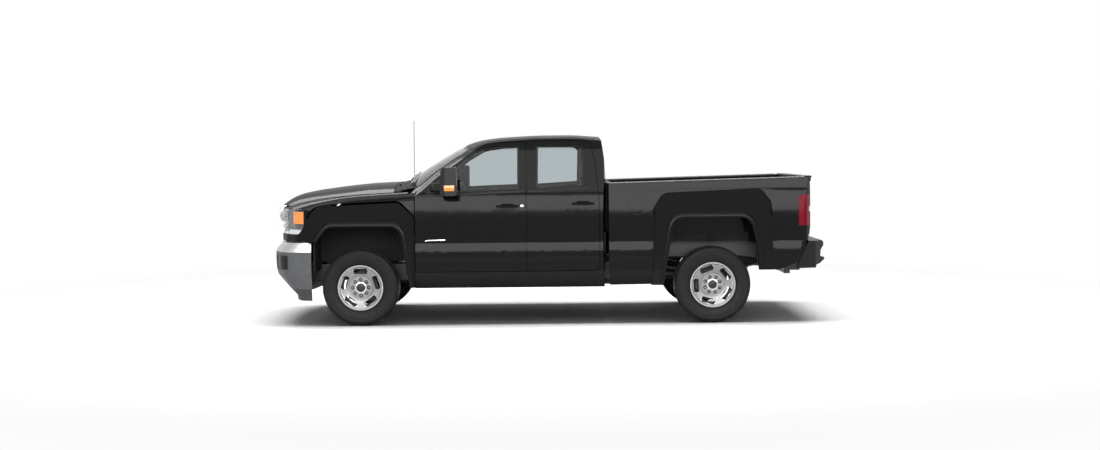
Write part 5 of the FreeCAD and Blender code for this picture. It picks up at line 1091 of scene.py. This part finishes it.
    def filler_door(self):
        """The fuel filler's door line on the left bed side."""
        tree, radius = surface("bed"), 0.098
        bm = bmesh.new()
        bmesh.ops.create_circle(bm, cap_ends=False, segments=56, radius=radius)
        for vert in bm.verts:
            square = max(abs(vert.co.x), abs(vert.co.y)) / radius
            vert.co *= 0.86 + 0.14 * square
        made = bmesh.ops.extrude_edge_only(bm, edges=bm.edges[:])["geom"]
        for vert in [item for item in made if isinstance(item, bmesh.types.BMVert)]:
            vert.co *= 0.955
        for vert in bm.verts:
            vert.co, _ = on_side(tree, 0.935 + vert.co.x, 1.228 + vert.co.y, -1, 0.0016)
        finish_piece(thickened(bm, (0, -1, 0), 0.0025), "filler_door_gap", "root", ["window_rubber"])

    def rear_steps(self):
        """Ribbed pads on the step bumper and its bare plate."""
        _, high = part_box("rear_bumper")
        parts = []
        for side in (-1, 1):
            base = rounded_box((0.110, 0.46, 0.006), 0.002, 1)
            parts.append((0, moved(base, (high.x - 0.265, side * 0.56, high.z + 0.002))))
            for number in range(6):
                rib = rounded_box((0.007, 0.44, 0.004), 0.0012, 1)
                parts.append((0, moved(rib, (high.x - 0.310 + number * 0.018, side * 0.56, high.z + 0.006))))
        finish_piece(merged(parts), "step_pads", "root", ["step_pad_rubber"])
        plate = rounded_box((0.004, 0.305, 0.152), 0.0015, 2)
        finish_piece(moved(plate, (high.x - 0.026, 0, PLATE_HEIGHT)), "bare_plate", "root", ["zinc_nuts"])


def cushion(size, crown, channels):
    """A stuffed block: a box of full sizes with crowned faces, pulled-in sides and sewn channels."""
    bm = bmesh.new()
    bmesh.ops.create_cube(bm, size=1.0)
    bmesh.ops.subdivide_edges(bm, edges=bm.edges[:], cuts=15, use_grid_fill=True)
    for vert in bm.verts:
        point = vert.co * 2
        for a in range(3):
            others = [point[b] for b in range(3) if b != a]
            fall = (1 - others[0] ** 4) * (1 - others[1] ** 4)
            point[a] *= 1 - crown * (1 - fall)
        if channels:
            wave = math.cos(point[1] * math.pi * channels)
            if point[2] > 0.5:
                point[2] -= SEAM_DEPTH * max(0.0, wave) ** 8 / size[2] * 2
        vert.co = Vector([point[a] * size[a] / 2 for a in range(3)])
    bmesh.ops.smooth_vert(bm, verts=bm.verts, factor=0.5, use_axis_x=True, use_axis_y=True, use_axis_z=True)
    return bm


class TRUCK_OT_seats(bpy.types.Operator):
    """Two front seats and the rear bench, as stuffed and sewn cushions"""

    bl_idname = "truck.seats"
    bl_label = "Seats"

    def execute(self, context):
        soft = []
        for y in SEAT_CENTRES:
            hand = "left" if y < 0 else "right"
            soft += [
                self.pad("seat_cushion_" + hand, (0.500, 0.480, 0.170), 0.10, 3, (-0.590, y, 0.870)),
                self.pad("seat_back_" + hand, (0.480, 0.470, 0.110), 0.10, 3, (-0.270, y, 1.178), SEAT_LEAN),
                self.pad("head_rest_" + hand, (0.170, 0.245, 0.085), 0.14, 0, (-0.1995, y, 1.503),
                         SEAT_LEAN / 2)]
            base = rounded_box((0.40, 0.38, 0.115), 0.02, 2)
            rails = [(0, moved(base, (-0.587, y, 0.6985)))]
            for across in (-0.17, 0.17):
                rail = rounded_box((0.40, 0.03, 0.022), 0.004, 1)
                rails.append((1, moved(rail, (-0.587, y + across, 0.652))))
            for across in (-0.06, 0.06):
                post = closed_up(turned([(0.0055, -0.06), (0.0055, 0.06)], 16, "Z"))
                rails.append((1, moved(post, (-0.208, y + across, 1.43), rotation(-SEAT_LEAN / 2, "Y"))))
            finish_piece(merged(rails), "seat_base_" + hand, "root", ["cabin_dark_plastic", "zinc_nuts"])
        for number, y in enumerate((-0.50, 0.0, 0.50)):
            soft += [
                self.pad("bench_cushion_%d" % number, (0.385, 0.488, 0.150), 0.09, 2, (0.205, y, 0.955)),
                self.pad("bench_back_%d" % number, (0.360, 0.488, 0.095), 0.09, 2, (0.452, y, 1.200),
                         BENCH_LEAN)]
        box = rounded_box((0.37, 1.50, 0.24), 0.02, 2)
        finish_piece(moved(box, (0.215, 0, 0.762)), "bench_box", "root", ["cabin_dark_plastic"])
        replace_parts(soft[0], "seats")
        return {"FINISHED"}

    def pad(self, name, size, crown, channels, place, lean=None):
        """One cushion, flat or stood up and leaned back."""
        turn = None if lean is None else rotation(-90 - lean, "Y")
        bm = moved(cushion(size, crown, channels), place, turn)
        return finish_piece(bm, name, "root", ["seat_cloth"], math.pi)


class TRUCK_OT_cabin(bpy.types.Operator):
    """Dashboard hood, dials, vents and the door armrests"""

    bl_idname = "truck.cabin"
    bl_label = "Cabin details"

    def execute(self, context):
        hood = closed_up(turned([(0.001, 0.0), (0.13, 0.0), (0.155, 0.02), (0.16, 0.05), (0.14, 0.075),
                                 (0.001, 0.085)], 40, "X"))
        bmesh.ops.scale(hood, vec=(1.0, 1.25, 0.62), verts=hood.verts)
        parts = [(0, moved(hood, (-1.060, -0.39, 1.322)))]
        for y in (-0.47, -0.33):
            dial = closed_up(turned([(0.001, 0.0), (0.054, 0.0), (0.058, 0.006), (0.062, 0.006),
                                     (0.062, -0.01), (0.001, -0.01)], 36, "X"))
            parts.append((1, moved(dial, (-0.974, y, 1.330))))
        tilt = rotation(DASH_LEAN, "Y")
        screen = rounded_box((0.012, 0.23, 0.13), 0.004, 2)
        parts.append((1, moved(screen, (-1.010, 0.0, 1.245), tilt)))
        for y in (-0.70, -0.17, 0.17, 0.70):
            parts.append((1, moved(rounded_box((0.014, 0.13, 0.07), 0.005, 2), (-1.004, y, 1.262), tilt)))
            for row in range(4):
                slat = rounded_box((0.010, 0.112, 0.004), 0.001, 1)
                parts.append((0, moved(slat, (-0.998, y, 1.238 + row * 0.016))))
        finish_piece(merged(parts), "dashboard_dials_and_vents", "root",
                     ["cabin_plastic", "cabin_dark_plastic"])
        for hand, side in SIDES:
            for where, x, length in (("front", -0.78, 0.62), ("rear", 0.15, 0.44)):
                door = "door_%s_%s" % (where, hand)
                rest = rounded_box((length, 0.055, 0.06), 0.016, 3)
                pull = rounded_box((0.16, 0.016, 0.028), 0.007, 2)
                arm = [(0, moved(rest, (x, side * (ARMREST_WALL - 0.0275), 1.02))),
                       (1, moved(pull, (x - length * 0.2, side * (ARMREST_WALL - 0.012), 1.21)))]
                finish_piece(merged(arm), "door_armrest_%s_%s" % (where, hand), door,
                             ["cabin_dark_plastic", "chrome"])
        return {"FINISHED"}


def seen_ray(tree):
    """1 for rays from the camera, off a mirror or through glass, and 0 for those that light."""
    path = add(tree, "ShaderNodeLightPath").outputs
    seen = combined(tree, "MAXIMUM", path["Is Camera Ray"], path["Is Glossy Ray"])
    return combined(tree, "MAXIMUM", seen, path["Is Transmission Ray"])


class TRUCK_OT_stage(bpy.types.Operator):
    """Pale floor, white surroundings, soft lights and the camera"""

    bl_idname = "truck.stage"
    bl_label = "Stage, light and camera"

    def execute(self, context):
        stage = context.scene.truck_stage
        self.floor(stage.floor)
        self.world()
        self.lights(stage)
        self.camera()
        context.scene.view_settings.view_transform = "Standard"
        return {"FINISHED"}

    def floor(self, size):
        """A matt floor that shows paler than it lights, and fades to white away from the truck."""
        bm = bmesh.new()
        bmesh.ops.create_grid(bm, x_segments=1, y_segments=1, size=size / 2)
        mesh = bpy.data.meshes.new("studio_floor")
        bm.to_mesh(mesh)
        bm.free()
        floor = bpy.data.objects.new("studio_floor", mesh)
        bpy.context.scene.collection.objects.link(floor)
        mesh.materials.append(bpy.data.materials.new("pale_floor"))
        tree = bare_tree(mesh.materials[0])
        matt = add(tree, "ShaderNodeBsdfDiffuse", {"Color": (0.86, 0.86, 0.86, 1)}).outputs["BSDF"]
        bright = add(tree, "ShaderNodeBsdfDiffuse", {"Color": (*[FLOOR_SEEN] * 3, 1)}).outputs["BSDF"]
        place = add(tree, "ShaderNodeTexCoord").outputs["Object"]
        length = add(tree, "ShaderNodeVectorMath", {0: place}, operation="LENGTH").outputs["Value"]
        away = spread(tree, length, 4.4, 8.5, 0.0, 1.0, interpolation_type="SMOOTHSTEP")
        white = add(tree, "ShaderNodeEmission", {"Color": WHITE, "Strength": 1.0}).outputs["Emission"]
        ground = mixed(tree, seen_ray(tree), matt, mixed(tree, away, bright, white))
        tree.links.new(ground, tree.nodes.new("ShaderNodeOutputMaterial").inputs["Surface"])

    def world(self):
        """White where it is seen or mirrored, dim where it lights."""
        world = bpy.data.worlds.new("white_surroundings")
        bpy.context.scene.world = world
        tree = bare_tree(world)
        dim, white = (add(tree, "ShaderNodeBackground", {"Color": WHITE, "Strength": strength})
                      for strength in (AMBIENT, 1.0))
        sky = mixed(tree, seen_ray(tree), dim.outputs["Background"], white.outputs["Background"])
        tree.links.new(sky, tree.nodes.new("ShaderNodeOutputWorld").inputs["Surface"])

    def lights(self, stage):
        """Wide soft lights round the truck, and one over the floor alone that gives the shadow its shape."""
        floor = bpy.data.collections.new("floor_alone")
        spared = bpy.data.collections.new("all_but_the_floor")
        for group, state in ((floor, "INCLUDE"), (spared, "EXCLUDE")):
            group.objects.link(bpy.data.objects["studio_floor"])
            group.collection_objects[0].light_linking.link_state = state
        aim = Vector((0, 0, 0.8))
        for name, place, wide, deep, power, lit in (
                ("overhead_light", (0.0, 0.0, 8.5), 12.0, 4.5, stage.key, None),
                ("floor_light", (0.0, 0.0, 8.0), 12.0, 4.5, stage.key * 2.2, floor),
                ("left_side_light", (0.0, -17.0, 4.6), 20.0, 5.8, stage.fill, spared),
                ("left_high_light", (0.0, -13.0, 11.5), 20.0, 6.5, stage.fill * 0.42, spared),
                ("right_high_light", (0.0, 12.0, 11.5), 20.0, 6.0, stage.fill * 0.9, spared)):
            data = bpy.data.lights.new(name, "AREA")
            data.shape = "RECTANGLE"
            data.size, data.size_y, data.energy = wide, deep, power
            lamp = bpy.data.objects.new(name, data)
            lamp.location = place
            lamp.light_linking.receiver_collection = lit
            lamp.rotation_euler = (aim - Vector(place)).to_track_quat("-Z", "Y").to_euler()
            bpy.context.scene.collection.objects.link(lamp)

    def camera(self):
        """On the truck's left, a little lower than its roof, and rolled slightly as the photograph is."""
        yaw, pitch, roll = (math.radians(angle) for angle in (0.344, -3.088, -0.487))
        focal_px, width_px = 1357.05, 1100.0
        forward = Vector((math.sin(yaw) * math.cos(pitch), math.cos(yaw) * math.cos(pitch), math.sin(pitch)))
        level = forward.cross(Vector((0, 0, 1))).normalized()
        upright = level.cross(forward)
        side = level * math.cos(roll) + upright * math.sin(roll)
        top = upright * math.cos(roll) - level * math.sin(roll)
        data = bpy.data.cameras.new("photo_camera")
        data.sensor_width = 36.0
        data.lens = data.sensor_width * focal_px / width_px
        data.clip_end = 500.0
        camera = bpy.data.objects.new("photo_camera", data)
        turn = Matrix((side, top, -forward)).transposed()
        camera.matrix_world = Matrix.Translation((-0.0487, -15.035, 1.792)) @ turn.to_4x4()
        bpy.context.scene.collection.objects.link(camera)
        bpy.context.scene.camera = camera


OPERATORS = (
    TRUCK_OT_finishes, TRUCK_OT_panels, TRUCK_OT_glass, TRUCK_OT_tyres, TRUCK_OT_wheels, TRUCK_OT_lamps,
    TRUCK_OT_front, TRUCK_OT_trim, TRUCK_OT_seats, TRUCK_OT_cabin, TRUCK_OT_stage,
)


class TRUCK_PT_panel(bpy.types.Panel):
    """The steps that dress the truck, in their order"""

    bl_idname = "TRUCK_PT_panel"
    bl_label = "Pickup truck"
    bl_space_type = "VIEW_3D"
    bl_region_type = "UI"
    bl_category = "Truck"

    def draw(self, context):
        layout = self.layout
        for group in (context.scene.truck_paint, context.scene.truck_tread, context.scene.truck_stage):
            for name in group.__annotations__:
                layout.prop(group, name)
        for operator in OPERATORS:
            layout.operator(operator.bl_idname)


GROUPS = (("truck_paint", TruckPaint), ("truck_tread", TruckTread), ("truck_stage", TruckStage))


def register():
    for name, group in GROUPS:
        bpy.utils.register_class(group)
        setattr(bpy.types.Scene, name, PointerProperty(type=group))
    for item in (*OPERATORS, TRUCK_PT_panel):
        bpy.utils.register_class(item)


def unregister():
    for item in reversed((*OPERATORS, TRUCK_PT_panel)):
        bpy.utils.unregister_class(item)
    for name, group in reversed(GROUPS):
        delattr(bpy.types.Scene, name)
        bpy.utils.unregister_class(group)


def main():
    register()
    for operator in OPERATORS:
        getattr(bpy.ops.truck, operator.bl_idname.split(".")[1])()


if __name__ == "__main__":
    main()
